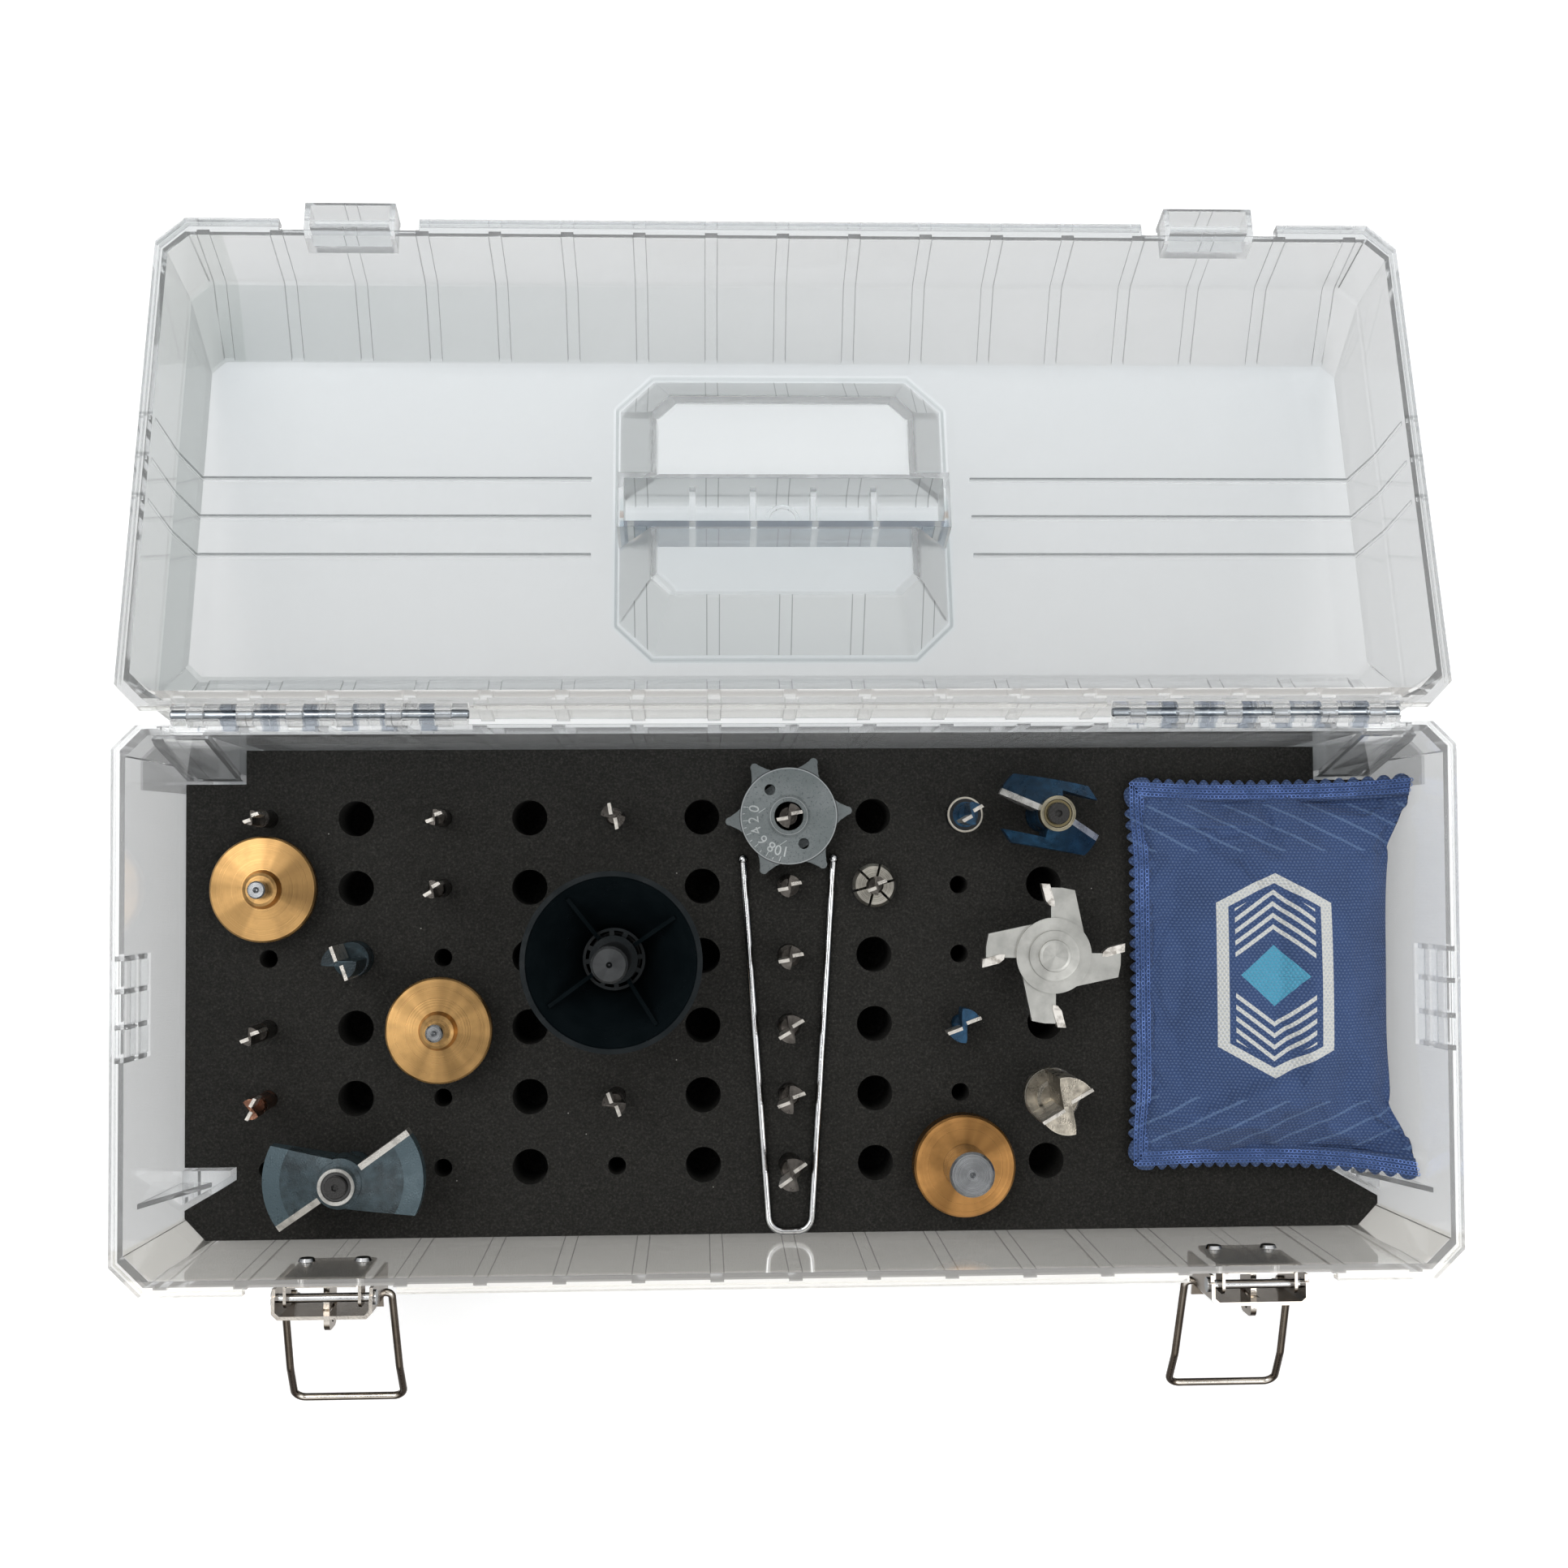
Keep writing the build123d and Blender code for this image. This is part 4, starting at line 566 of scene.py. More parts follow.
def lid_tone(add, join, groups, vector, tone, flat):
    """Painted light and shade of the lid: shade on its deep walls, most towards its left end, light over its
    panel, dark lines in its grooves, and light and shade in its handle recess and across its grip.

    Also gives the mask of its milky walls and the faint painted glow of the strip by its hinge.
    """
    placed = add("ShaderNodeMapping", vector_type="TEXTURE")
    placed.inputs["Location"].default_value = LID_HINGE
    placed.inputs["Rotation"].default_value = (-LID_LEAN, 0.0, 0.0)
    join(vector, placed.inputs["Vector"])
    turned = add("ShaderNodeVectorMath", operation="MULTIPLY")
    join(placed.outputs["Vector"], turned.inputs[0])
    turned.inputs[1].default_value = (1.0, 1.0, -1.0)
    x, y, z = split(add, join, turned.outputs[0])
    steep = math_node(add, join, "SUBTRACT", 1.0, flat)
    deep = math_node(add, join, "MULTIPLY", steep, math_node(add, join, "GREATER_THAN", z, 29.5 * MM))
    # Painted shade: the deep walls darker towards the left
    side = shaded(add, join, x, -200, 120, (0.81, 0.83, 0.83), (0.95, 0.95, 0.95))
    tone = times(add, join, tone, side, deep)
    # Painted shade on the left end wall
    left_end_shade = math_node(add, join, "MULTIPLY", steep, inside_band(
        add, join, math_node(add, join, "MULTIPLY", x, -1.0), 205 * MM, 240 * MM))
    tone = times(add, join, tone, (0.90, 0.91, 0.90), left_end_shade)
    # Painted light: the panel brighter away from the hinge
    panel = shaded(add, join, y, 30, 170, (1.01, 1.01, 1.01), (1.085, 1.10, 1.11))
    tone = times(add, join, tone, panel, flat)
    from_middle = math_node(add, join, "SUBTRACT", y, RECESS_MIDDLE)
    # Painted shade: dark lines along the grooves on the panel either side of the recess
    groove_share = math_node(
        add, join, "ADD", math_node(add, join, "DIVIDE", from_middle, GROOVE_PITCH), 20.5)
    from_groove = math_node(add, join, "ABSOLUTE", math_node(
        add, join, "SUBTRACT", math_node(add, join, "FRACT", groove_share), 0.5))
    groove_shade = math_node(add, join, "MULTIPLY", math_node(add, join, "LESS_THAN", from_groove, 0.03), flat)
    groove_shade = math_node(add, join, "MULTIPLY", groove_shade, math_node(
        add, join, "LESS_THAN", math_node(add, join, "ABSOLUTE", from_middle), 20.0 * MM))
    groove_shade = math_node(add, join, "MULTIPLY", groove_shade, math_node(
        add, join, "GREATER_THAN", math_node(add, join, "ABSOLUTE", x), 72.0 * MM))
    tone = times(add, join, tone, (0.50, 0.51, 0.51), groove_shade)
    # Painted glow: a faint light on the wall strip by the hinge
    strip = math_node(add, join, "MULTIPLY", steep, inside_band(add, join, y, 2.0 * MM, 14.0 * MM))
    glow = mix_node(add, join, strip, (0.0, 0.0, 0.0), (0.135, 0.130, 0.122))
    middle = add("ShaderNodeVectorMath", operation="SUBTRACT")
    join(turned.outputs[0], middle.inputs[0])
    middle.inputs[1].default_value = (0.0, RECESS_MIDDLE, 0.0)
    recess = place_group(add, join, groups["recess"], middle.outputs[0])
    join(flat, recess.inputs["Flat"])
    # Painted light: the recess floor brighter away from the hinge
    floor = shaded(add, join, from_middle, -12, 12, (0.98, 1.0, 1.01), (1.12, 1.12, 1.12))
    tone = times(add, join, tone, floor, math_node(add, join, "MULTIPLY", recess.outputs["Inside"], flat))
    tone = times(add, join, tone, (0.985, 0.99, 0.985), recess.outputs["Walls"])
    # Painted shade: a dark line round the recess; painted reflections and shade in bands across the grip
    tone = times(add, join, tone, (0.72, 0.74, 0.74), recess.outputs["Line"])
    tone = times(add, join, tone, recess.outputs["Shade"], recess.outputs["Grip"])
    return tone, recess.outputs["Walls"], glow


def base_tone(add, join, vector, tone):
    """Painted shade of the base: warm shade on its front wall, shade in its corner pockets and on its knuckles
    between the hinge rings.

    Also gives the painted glow of its front flange.
    """
    # Painted warm shade on the front wall
    front = zone(add, join, vector, (0, -110, 20), (230, -80, 96))
    tone = times(add, join, tone, (0.90, 0.875, 0.83), front)
    # Painted shade in the corner pockets
    pocket_shade = zone(add, join, vector, (182, 74, 2), (225, 92, 80))
    tone = times(add, join, tone, (0.60, 0.60, 0.60), pocket_shade)
    # Painted shade on the knuckles between the hinge rings
    knuckles = zone(add, join, vector, (118, 93, 88), (200, 106, 106))
    x = split(add, join, vector)[0]
    share = math_node(add, join, "FRACT", math_node(
        add, join, "DIVIDE", math_node(add, join, "ADD", x, 1.0), RIB_PITCH / 2))
    dark = math_node(add, join, "MULTIPLY", knuckles, math_node(add, join, "LESS_THAN", share, 0.42))
    # Painted glow along the front flange
    rim = zone(add, join, vector, (0, -112, 91), (230, -90, 98))
    glow = mix_node(add, join, rim, (0.0, 0.0, 0.0), (0.112, 0.107, 0.100))
    return times(add, join, tone, (0.52, 0.56, 0.62), dark), glow


def clear_plastic(name, settings, groups, lean, middle, walls, share):
    """Clear moulded plastic that lets lamps through, with painted dark lines at its rib edges, faint scuffs and
    a wavy surface.

    Walls and share are how much of the tint the walls keep, and how much of that the flat panel keeps: painted
    shade that makes the lid darker than the base and its panel darker than its walls.
    """
    material, add, join, shader = new_material(name)
    surface = shader.outputs[0].links[0].to_socket
    shader.inputs["Transmission Weight"].default_value = 0.88
    shader.inputs["IOR"].default_value = 1.38
    shader.inputs["Coat Weight"].default_value = 0.3
    shader.inputs["Coat Roughness"].default_value = 0.04
    vector = object_vector(add, join)
    edges = place_group(
        add, join, groups["rib_edge_shade"], vector, Out=(0.0, math.cos(lean), -math.sin(lean)), Middle=middle)
    outward = add("ShaderNodeVectorMath", operation="SCALE")
    join(add("ShaderNodeTexCoord").outputs["Normal"], outward.inputs[0])
    turned = math_node(add, join, "MULTIPLY", add("ShaderNodeNewGeometry").outputs["Backfacing"], -2.0)
    join(math_node(add, join, "ADD", turned, 1.0), outward.inputs["Scale"])
    join(outward.outputs[0], edges.inputs["Normal"])
    # Painted shade: darker walls on the lid and a darker flat panel
    wall = tuple(c * walls for c in settings.plastic_tint)
    tone = mix_node(add, join, edges.outputs["Flat"], wall, tuple(c * share for c in wall))
    # Painted shade: dark lines at both sides of each rib
    tone = mix_node(add, join, edges.outputs["Mask"], tone, tuple(c * 0.38 for c in wall))
    grain = place_group(
        add, join, groups["grain"], vector, Coarse=14.0, Fine=45.0, Depth=0.12, Low=0.02, High=0.10)
    rough = grain.outputs["Roughness"]
    if lean:
        tone, milky, glow = lid_tone(add, join, groups, vector, tone, edges.outputs["Flat"])
        rough = math_node(add, join, "ADD", rough, math_node(add, join, "MULTIPLY", milky, 0.26))
    else:
        tone, glow = base_tone(add, join, vector, tone)
    # Painted glow: faint light on the lid's strip by its hinge and on the base's front flange
    join(glow, shader.inputs["Emission Color"])
    shader.inputs["Emission Strength"].default_value = 1.0
    join(tone, shader.inputs["Base Color"])
    join(rough, shader.inputs["Roughness"])
    join(grain.outputs["Normal"], shader.inputs["Normal"])
    through = add("ShaderNodeBsdfTransparent")
    through.inputs["Color"].default_value = (0.93, 0.945, 0.955, 1.0)
    path = add("ShaderNodeLightPath")
    mix = add("ShaderNodeMixShader")
    join(path.outputs["Is Shadow Ray"], mix.inputs["Fac"])
    join(shader.outputs[0], mix.inputs[1])
    join(through.outputs[0], mix.inputs[2])
    join(mix.outputs[0], surface)
    return material


def foam(settings, groups):
    """Charcoal closed-cell foam with fine cells and a little pale dust."""
    material, add, join, shader = new_material("black_foam")
    vector = object_vector(add, join)
    grain = place_group(
        add, join, groups["grain"], vector, Coarse=260.0, Fine=1500.0, Depth=0.9, Low=0.82, High=0.97)
    join(grain.outputs["Roughness"], shader.inputs["Roughness"])
    join(grain.outputs["Normal"], shader.inputs["Normal"])
    cells = noise_node(add, join, vector, 1100.0, detail=3.0, roughness=0.8)
    tone = ramp_node(add, join, cells.outputs["Fac"], [
        (0.30, (0.009, 0.0088, 0.008)), (0.52, tuple(settings.foam_colour)), (0.75, (0.052, 0.050, 0.045))])
    dust = place_group(add, join, groups["specks"], vector, Scale=150.0, Size=0.035)
    join(mix_node(add, join, dust.outputs["Mask"], tone, (0.30, 0.29, 0.27)), shader.inputs["Base Color"])
    shader.inputs["Specular IOR Level"].default_value = 0.25
    return material


def fabric(settings, groups):
    """Navy knit with pale flecks, diagonal stripes in two bands and a plain printed badge shape."""
    material, add, join, shader = new_material("navy_fabric")
    plan = add("ShaderNodeUVMap", uv_map="plan").outputs["UV"]
    weave = place_group(add, join, groups["weave"], plan)
    x, y, _ = split(add, join, plan)
    tall = math_node(add, join, "ABSOLUTE", y)
    wide = math_node(add, join, "ABSOLUTE", math_node(add, join, "ADD", x, -0.12))
    badge_tall = math_node(add, join, "DIVIDE", tall, 1.15)
    badge_wide = math_node(add, join, "DIVIDE", wide, 1.15)
    # stripes in a band at each end, leaning opposite ways
    slant = math_node(add, join, "ADD", tall, math_node(add, join, "MULTIPLY", x, 0.55))
    stripe = math_node(
        add, join, "LESS_THAN",
        math_node(add, join, "FRACT", math_node(add, join, "DIVIDE", slant, 0.78)), 0.13)
    banded = inside_band(add, join, tall, 4.45, 6.15)
    stripes = math_node(add, join, "MULTIPLY", stripe, banded)
    # a long hexagon ring with chevrons inside it and a lozenge at its centre
    past = math_node(add, join, "MAXIMUM", math_node(add, join, "ADD", badge_tall, -1.7), 0.0)
    corner = math_node(
        add, join, "ADD", math_node(add, join, "MULTIPLY", badge_wide, 0.5),
        math_node(add, join, "MULTIPLY", past, 0.87))
    hexagon = math_node(add, join, "MAXIMUM", badge_wide, math_node(add, join, "MULTIPLY", corner, 1.25))
    ring = inside_band(add, join, hexagon, 1.28, 1.62)
    chevron = math_node(add, join, "ADD", badge_tall, math_node(add, join, "MULTIPLY", badge_wide, 0.8))
    bars = math_node(
        add, join, "LESS_THAN",
        math_node(add, join, "FRACT", math_node(add, join, "DIVIDE", chevron, 0.36)), 0.42)
    field = math_node(add, join, "LESS_THAN", hexagon, 1.1)
    outer_field = math_node(add, join, "GREATER_THAN", chevron, 1.35)
    bars = math_node(add, join, "MULTIPLY", bars, math_node(add, join, "MULTIPLY", field, outer_field))
    white = math_node(add, join, "MAXIMUM", ring, bars)
    lozenge = math_node(add, join, "LESS_THAN", math_node(add, join, "ADD", badge_tall, badge_wide), 0.95)
    patches = noise_node(add, join, plan, 0.5, detail=4.0)
    navy = ramp_node(add, join, patches.outputs["Fac"], [
        (0.3, tuple(c * 0.86 for c in settings.pouch_colour)),
        (0.7, tuple(c * 1.12 for c in settings.pouch_colour))])
    printed = mix_node(add, join, math_node(add, join, "MULTIPLY", stripes, 0.55), navy, (0.16, 0.26, 0.46))
    printed = mix_node(add, join, white, printed, (0.80, 0.81, 0.78))
    printed = mix_node(add, join, lozenge, printed, (0.10, 0.42, 0.62))
    flecked = mix_node(
        add, join, math_node(add, join, "MULTIPLY", weave.outputs["Mask"], 0.34), printed, (0.19, 0.28, 0.46))
    join(flecked, shader.inputs["Base Color"])
    join(bump_node(add, join, weave.outputs["Height"], 0.8, 0.5 * MM), shader.inputs["Normal"])
    join(remap(add, join, weave.outputs["Mask"], 0.0, 1.0, 0.92, 0.72), shader.inputs["Roughness"])
    shader.inputs["Sheen Weight"].default_value = 0.06
    shader.inputs["Sheen Roughness"].default_value = 0.5
    return material


def metal(name, groups, colour, low, high, centre=None, depth=0.15, rings=2400.0, sectors=0.0,
          turn=1.2, bands=None):
    """Metal with turning marks and painted highlight and shade in sectors round a centre, or with fine grain
    where it has none.

    Bands are shares of the colour by how far a face turns from the view, as bright plating shows them: a painted
    highlight where a face meets the view and painted dark reflections towards its edges.
    """
    material, add, join, shader = new_material(name)
    shader.inputs["Metallic"].default_value = 1.0
    vector = object_vector(add, join, centre)
    if centre is None:
        finish = place_group(
            add, join, groups["grain"], vector, Coarse=180.0, Fine=1400.0, Depth=depth, Low=low, High=high)
    else:
        finish = place_group(
            add, join, groups["turning"], vector, Rings=rings, Depth=depth, Low=low, High=high)
    join(finish.outputs["Roughness"], shader.inputs["Roughness"])
    join(finish.outputs["Normal"], shader.inputs["Normal"])
    patches = noise_node(add, join, vector, 130.0, detail=5.0)
    tone = ramp_node(add, join, patches.outputs["Fac"], [
        (0.34, tuple(c * 0.78 for c in colour)), (0.56, tuple(colour))])
    # Painted highlight and shade in sectors round the centre
    if sectors > 0:
        faces = place_group(add, join, groups["sectors"], vector, Turn=turn)
        shade = math_node(add, join, "MULTIPLY", faces.outputs["Mask"], sectors)
        tone = mix_node(add, join, shade, tone, tuple(c * 0.34 for c in colour))
    # Painted highlight and dark reflections, by how far a face turns from the view
    if bands is not None:
        facing = add("ShaderNodeLayerWeight")
        facing.inputs["Blend"].default_value = 0.5
        tone = times(add, join, tone, ramp_node(add, join, facing.outputs["Facing"], bands))
    join(tone, shader.inputs["Base Color"])
    return material


def cutter(name, groups, body, place, metallic, carbide=(0.64, 0.61, 0.56), web=None, thickness=1.25,
           behind=0.05, band=None, screw=None, collar=None):
    """Cutter: a coated or ground body with carbide plates, fine grinding lines and painted highlight and shade
    in sectors.

    Sizes are in millimetres: the plates' bare web, thickness and how far they stand behind the wing's face,
    the radius past which a paler band of painted highlight starts, the height of a dark screw, and a collar's
    inner and outer radius with its colour, with a painted highlight line just inside the outer radius.
    """
    column, row, start, reach, facing = place
    material, add, join, shader = new_material(name)
    vector = object_vector(add, join, socket(column, row))
    plates = place_group(
        add, join, groups["plates"], vector, Facing=math.radians(facing), Thickness=thickness * MM,
        Behind=behind * MM, Inner=(web or PLATE_WEB * reach) * MM, Start=(start + PLATE_START) * MM)
    finish = place_group(
        add, join, groups["grain"], vector, Coarse=260.0, Fine=1800.0, Depth=0.35, Low=0.20, High=0.44)
    join(finish.outputs["Roughness"], shader.inputs["Roughness"])
    join(finish.outputs["Normal"], shader.inputs["Normal"])
    patches = noise_node(add, join, vector, 240.0, detail=5.0)
    tone = ramp_node(add, join, patches.outputs["Fac"], [
        (0.36, tuple(c * 0.6 for c in body)), (0.5, tuple(body)),
        (0.68, tuple(min(c * 1.5, 1.0) for c in body))])
    # Painted highlight and shade in sectors round the cutter's axis
    faces = place_group(add, join, groups["sectors"], vector, Turn=5.2, Low=0.30, High=0.72)
    shade = math_node(add, join, "MULTIPLY", faces.outputs["Mask"], 0.25 if band else 0.7)
    tone = mix_node(add, join, shade, tone, tuple(c * 0.32 for c in body))
    # Painted highlight: a paler band on the outer bevel
    if band is not None:
        outer = math_node(add, join, "GREATER_THAN", plates.outputs["Radius"], band * MM)
        tone = mix_node(add, join, outer, tone, tuple(c * 1.6 for c in body))
    if collar is not None:
        outer = math_node(add, join, "GREATER_THAN", plates.outputs["Radius"], collar[0] * MM)
        tone = mix_node(add, join, outer, tone, collar[2])
        # Painted highlight: a pale line just inside the collar's outer radius
        edge = inside_band(
            add, join, plates.outputs["Radius"], (collar[1] - 0.75) * MM, (collar[1] - 0.1) * MM)
        tone = mix_node(add, join, edge, tone, (0.62, 0.58, 0.50))
    if screw is not None:
        above = math_node(add, join, "GREATER_THAN", split(add, join, vector)[2], screw * MM)
        tone = mix_node(add, join, above, tone, (0.028, 0.027, 0.026))
    worn = ramp_node(add, join, patches.outputs["Fac"], [
        (0.3, tuple(c * 0.55 for c in carbide)), (0.55, tuple(carbide))])
    join(mix_node(add, join, plates.outputs["Mask"], tone, worn), shader.inputs["Base Color"])
    join(remap(add, join, plates.outputs["Mask"], 0.0, 1.0, metallic, 0.85), shader.inputs["Metallic"])
    return material


def base_colour(material):
    """Node helpers of a finished material, its shader and the colour that feeds it."""
    add, join = links_of(material.node_tree)
    shader = next(node for node in material.node_tree.nodes if node.type == "BSDF_PRINCIPLED")
    return add, join, shader, shader.inputs["Base Color"].links[0].from_socket


def bearing_finish(name, groups, centre, race, shield):
    """Guide bearing: bright races with a darker shield between them."""
    material = metal(name, groups, race, 0.10, 0.26, centre=centre, sectors=0.5)
    add, join, shader, tone = base_colour(material)
    rings = place_group(add, join, groups["plates"], object_vector(add, join, centre))
    shielded = inside_band(add, join, rings.outputs["Radius"], 3.6 * MM, 5.1 * MM)
    line = inside_band(add, join, rings.outputs["Radius"], 4.9 * MM, 5.15 * MM)
    tone = mix_node(add, join, shielded, tone, shield)
    join(mix_node(add, join, line, tone, (0.02, 0.02, 0.02)), shader.inputs["Base Color"])
    return material


def slot_cutter_finish(name, groups, colour):
    """Slot cutter: turned steel with grinding marks and pale carbide tips."""
    material = metal(name, groups, colour, 0.3, 0.5, centre=socket(9, 2), sectors=0.35)
    add, join, shader, tone = base_colour(material)
    vector = object_vector(add, join, socket(9, 2))
    tips = place_group(add, join, groups["tips"], vector)
    worn = noise_node(add, join, vector, 420.0, detail=4.0)
    pale = ramp_node(add, join, worn.outputs["Fac"], [(0.35, (0.42, 0.39, 0.35)), (0.55, (0.86, 0.83, 0.78))])
    join(mix_node(add, join, tips.outputs["Mask"], tone, pale), shader.inputs["Base Color"])
    return material


def coat(name, groups, colour, low, high, metallic=0.0, depth=0.2, coarse=140.0, worn=None,
         sheen=0.25, shine=0.5):
    """Paint or plastic: a colour with slight patches, fine grain and a soft clear coat."""
    material, add, join, shader = new_material(name)
    shader.inputs["Metallic"].default_value = metallic
    shader.inputs["Coat Weight"].default_value = sheen
    shader.inputs["Coat Roughness"].default_value = 0.25
    shader.inputs["Specular IOR Level"].default_value = shine
    vector = object_vector(add, join)
    finish = place_group(
        add, join, groups["grain"], vector, Coarse=coarse, Fine=1300.0, Depth=depth, Low=low, High=high)
    join(finish.outputs["Roughness"], shader.inputs["Roughness"])
    join(finish.outputs["Normal"], shader.inputs["Normal"])
    pale = worn or tuple(min(c * 1.5 + 0.01, 1.0) for c in colour)
    patches = noise_node(add, join, vector, 90.0, detail=6.0, roughness=0.65)
    tone = ramp_node(add, join, patches.outputs["Fac"], [(0.42, tuple(colour)), (0.72, pale)])
    join(tone, shader.inputs["Base Color"])
    return material


def dial_finish(groups):
    """Die-cast dial: mottled grey with a painted highlight line near its rim and round its bore, darker teeth,
    and a painted shadow just outside the rim line.
    """
    material = coat("zinc_grey", groups, (0.138, 0.160, 0.162), 0.4, 0.55, metallic=0.3, depth=0.7, coarse=420.0,
                    worn=(0.20, 0.222, 0.226))
    add, join, shader, tone = base_colour(material)
    vector = object_vector(add, join, socket(6, 0))
    rings = place_group(add, join, groups["plates"], vector)
    specks = noise_node(add, join, vector, 1300.0, detail=3.0, roughness=0.8)
    pitted = math_node(add, join, "GREATER_THAN", specks.outputs["Fac"], 0.60)
    tone = mix_node(add, join, pitted, tone, (0.085, 0.098, 0.102))
    teeth = math_node(add, join, "GREATER_THAN", rings.outputs["Radius"], 17.5 * MM)
    tone = mix_node(add, join, math_node(add, join, "MULTIPLY", teeth, 0.35), tone, (0.07, 0.08, 0.084))
    # Painted highlight: pale lines at the face's edge and round the bore
    for low, high in ((17.2, 17.55), (6.6, 6.9)):
        line = inside_band(add, join, rings.outputs["Radius"], low * MM, high * MM)
        tone = mix_node(add, join, line, tone, (0.34, 0.36, 0.365))
    shadow = inside_band(add, join, rings.outputs["Radius"], 17.55 * MM, 17.95 * MM)
    join(mix_node(add, join, shadow, tone, (0.05, 0.056, 0.058)), shader.inputs["Base Color"])
    return material


def dress(node, material):
    """Gives a CAD node its finish."""
    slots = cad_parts[node].material_slots
    if not slots:
        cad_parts[node].data.materials.append(material)
    for slot in slots:
        slot.material = material


# Repeated details, by Geometry Nodes


def repeat_group(name):
    """Geometry Nodes group: copies of a piece spaced evenly along a path and turned with it."""
    group = bpy.data.node_groups.new(name, "GeometryNodeTree")
    for label, kind in (
            ("Path", "NodeSocketGeometry"), ("Piece", "NodeSocketObject"), ("Count", "NodeSocketInt"),
            ("Least Size", "NodeSocketFloat"), ("Seed", "NodeSocketInt"), ("Material", "NodeSocketMaterial")):
        group.interface.new_socket(label, in_out="INPUT", socket_type=kind)
    group.interface.new_socket("Geometry", in_out="OUTPUT", socket_type="NodeSocketGeometry")
    add, join = links_of(group)
    source = add("NodeGroupInput")
    curve = add("GeometryNodeMeshToCurve")
    join(source.outputs["Path"], curve.inputs["Mesh"])
    points = add("GeometryNodeResampleCurve")
    join(curve.outputs["Curve"], points.inputs["Curve"])
    join(source.outputs["Count"], points.inputs["Count"])
    along = add("FunctionNodeAlignRotationToVector", axis="X")
    join(add("GeometryNodeInputTangent").outputs["Tangent"], along.inputs["Vector"])
    upright = add("FunctionNodeAlignRotationToVector", axis="Z", pivot_axis="X")
    join(along.outputs["Rotation"], upright.inputs["Rotation"])
    piece = add("GeometryNodeObjectInfo")
    join(source.outputs["Piece"], piece.inputs["Object"])
    size = add("FunctionNodeRandomValue", data_type="FLOAT")
    least = [socket for socket in size.inputs if socket.name == "Min" and socket.type == "VALUE"][0]
    join(source.outputs["Least Size"], least)
    join(source.outputs["Seed"], size.inputs["Seed"])
    place = add("GeometryNodeInstanceOnPoints")
    join(points.outputs["Curve"], place.inputs["Points"])
    join(piece.outputs["Geometry"], place.inputs["Instance"])
    join(upright.outputs["Rotation"], place.inputs["Rotation"])
    values = [socket for socket in size.outputs if socket.name == "Value" and socket.type == "VALUE"]
    join(values[0], place.inputs["Scale"])
    real = add("GeometryNodeRealizeInstances")
    join(place.outputs["Instances"], real.inputs["Geometry"])
    finish = add("GeometryNodeSetMaterial")
    join(real.outputs["Geometry"], finish.inputs["Geometry"])
    join(source.outputs["Material"], finish.inputs["Material"])
    join(finish.outputs["Geometry"], add("NodeGroupOutput").inputs["Geometry"])
    return group


def path_object(context, name, places, closed=False):
    """A line of edges through places, for a repeat to follow."""
    count = len(places)
    edges = [(i, (i + 1) % count) for i in range(count if closed else count - 1)]
    data = bpy.data.meshes.new(name)
    data.from_pydata([tuple(place) for place in places], edges, [])
    path = bpy.data.objects.new(name, data)
    context.scene.collection.objects.link(path)
    return path


def part_object(context, name, mesh):
    """An object from a bmesh, with its faces turned outwards."""
    bmesh.ops.recalc_face_normals(mesh, faces=mesh.faces[:])
    data = bpy.data.meshes.new(name)
    mesh.to_mesh(data)
    mesh.free()
    part = bpy.data.objects.new(name, data)
    context.scene.collection.objects.link(part)
    return part


def repeat_along(context, group, path, part, count, material, least=1.0, seed=7):
    """Runs the repeat on a path and gives its plain mesh; the path goes."""
    values = {"Piece": part, "Count": count, "Least Size": least, "Seed": seed, "Material": material}
    modifier = path.modifiers.new("repeat", "NODES")
    modifier.node_group = group
    for item in group.interface.items_tree:
        if item.in_out == "INPUT" and item.name in values:
            modifier[item.identifier] = values[item.name]
    path.update_tag()
    depsgraph = context.evaluated_depsgraph_get()
    depsgraph.update()
    data = bpy.data.meshes.new_from_object(path.evaluated_get(depsgraph), depsgraph=depsgraph)
    path.modifiers.remove(modifier)
    bpy.data.objects.remove(path)
    return data


def joined_piece(context, name, meshes, body, material, smooth_faces=True):
    """One named piece from several plain meshes, riding a body."""
    whole = bmesh.new()
    for data in meshes:
        whole.from_mesh(data)
    data = bpy.data.meshes.new(name)
    whole.to_mesh(data)
    whole.free()
    data.materials.clear()
    data.materials.append(material)
    for face in data.polygons:
        face.use_smooth = smooth_faces
        face.material_index = 0
    piece = bpy.data.objects.new(name, data)
    context.scene.collection.objects.link(piece)
    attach(piece, body)
    return piece


def circle_places(centre, radius, height, count, start=0.0, end=2 * math.pi):
    """Places round an axis, at a height above the foam."""
    closed = abs(end - start - 2 * math.pi) < 1e-6
    steps = count if closed else count - 1
    places = []
    for k in range(count):
        angle = start + (end - start) * k / steps
        places.append(centre + Vector((radius * math.cos(angle), radius * math.sin(angle), height)) * MM)
    return places


def loop_part(context, long, wide, thread):
    """A small oval loop of thread, lying flat."""
    mesh = bmesh.new()
    rings = []
    for i in range(8):
        turn = 2 * math.pi * i / 8
        outward = Vector((math.cos(turn), math.sin(turn), 0))
        centre = Vector((long * math.cos(turn), wide * math.sin(turn), 0.25 * thread * math.cos(2 * turn)))
        ring = []
        for j in range(4):
            roll = 2 * math.pi * j / 4
            step = (outward * math.cos(roll) + Vector((0, 0, math.sin(roll)))) * thread
            ring.append(mesh.verts.new((centre + step) * MM))
        rings.append(ring)
    for i in range(8):
        for j in range(4):
            mesh.faces.new((rings[i][j], rings[(i + 1) % 8][j], rings[(i + 1) % 8][(j + 1) % 4],
                            rings[i][(j + 1) % 4]))
    return part_object(context, "loop", mesh)


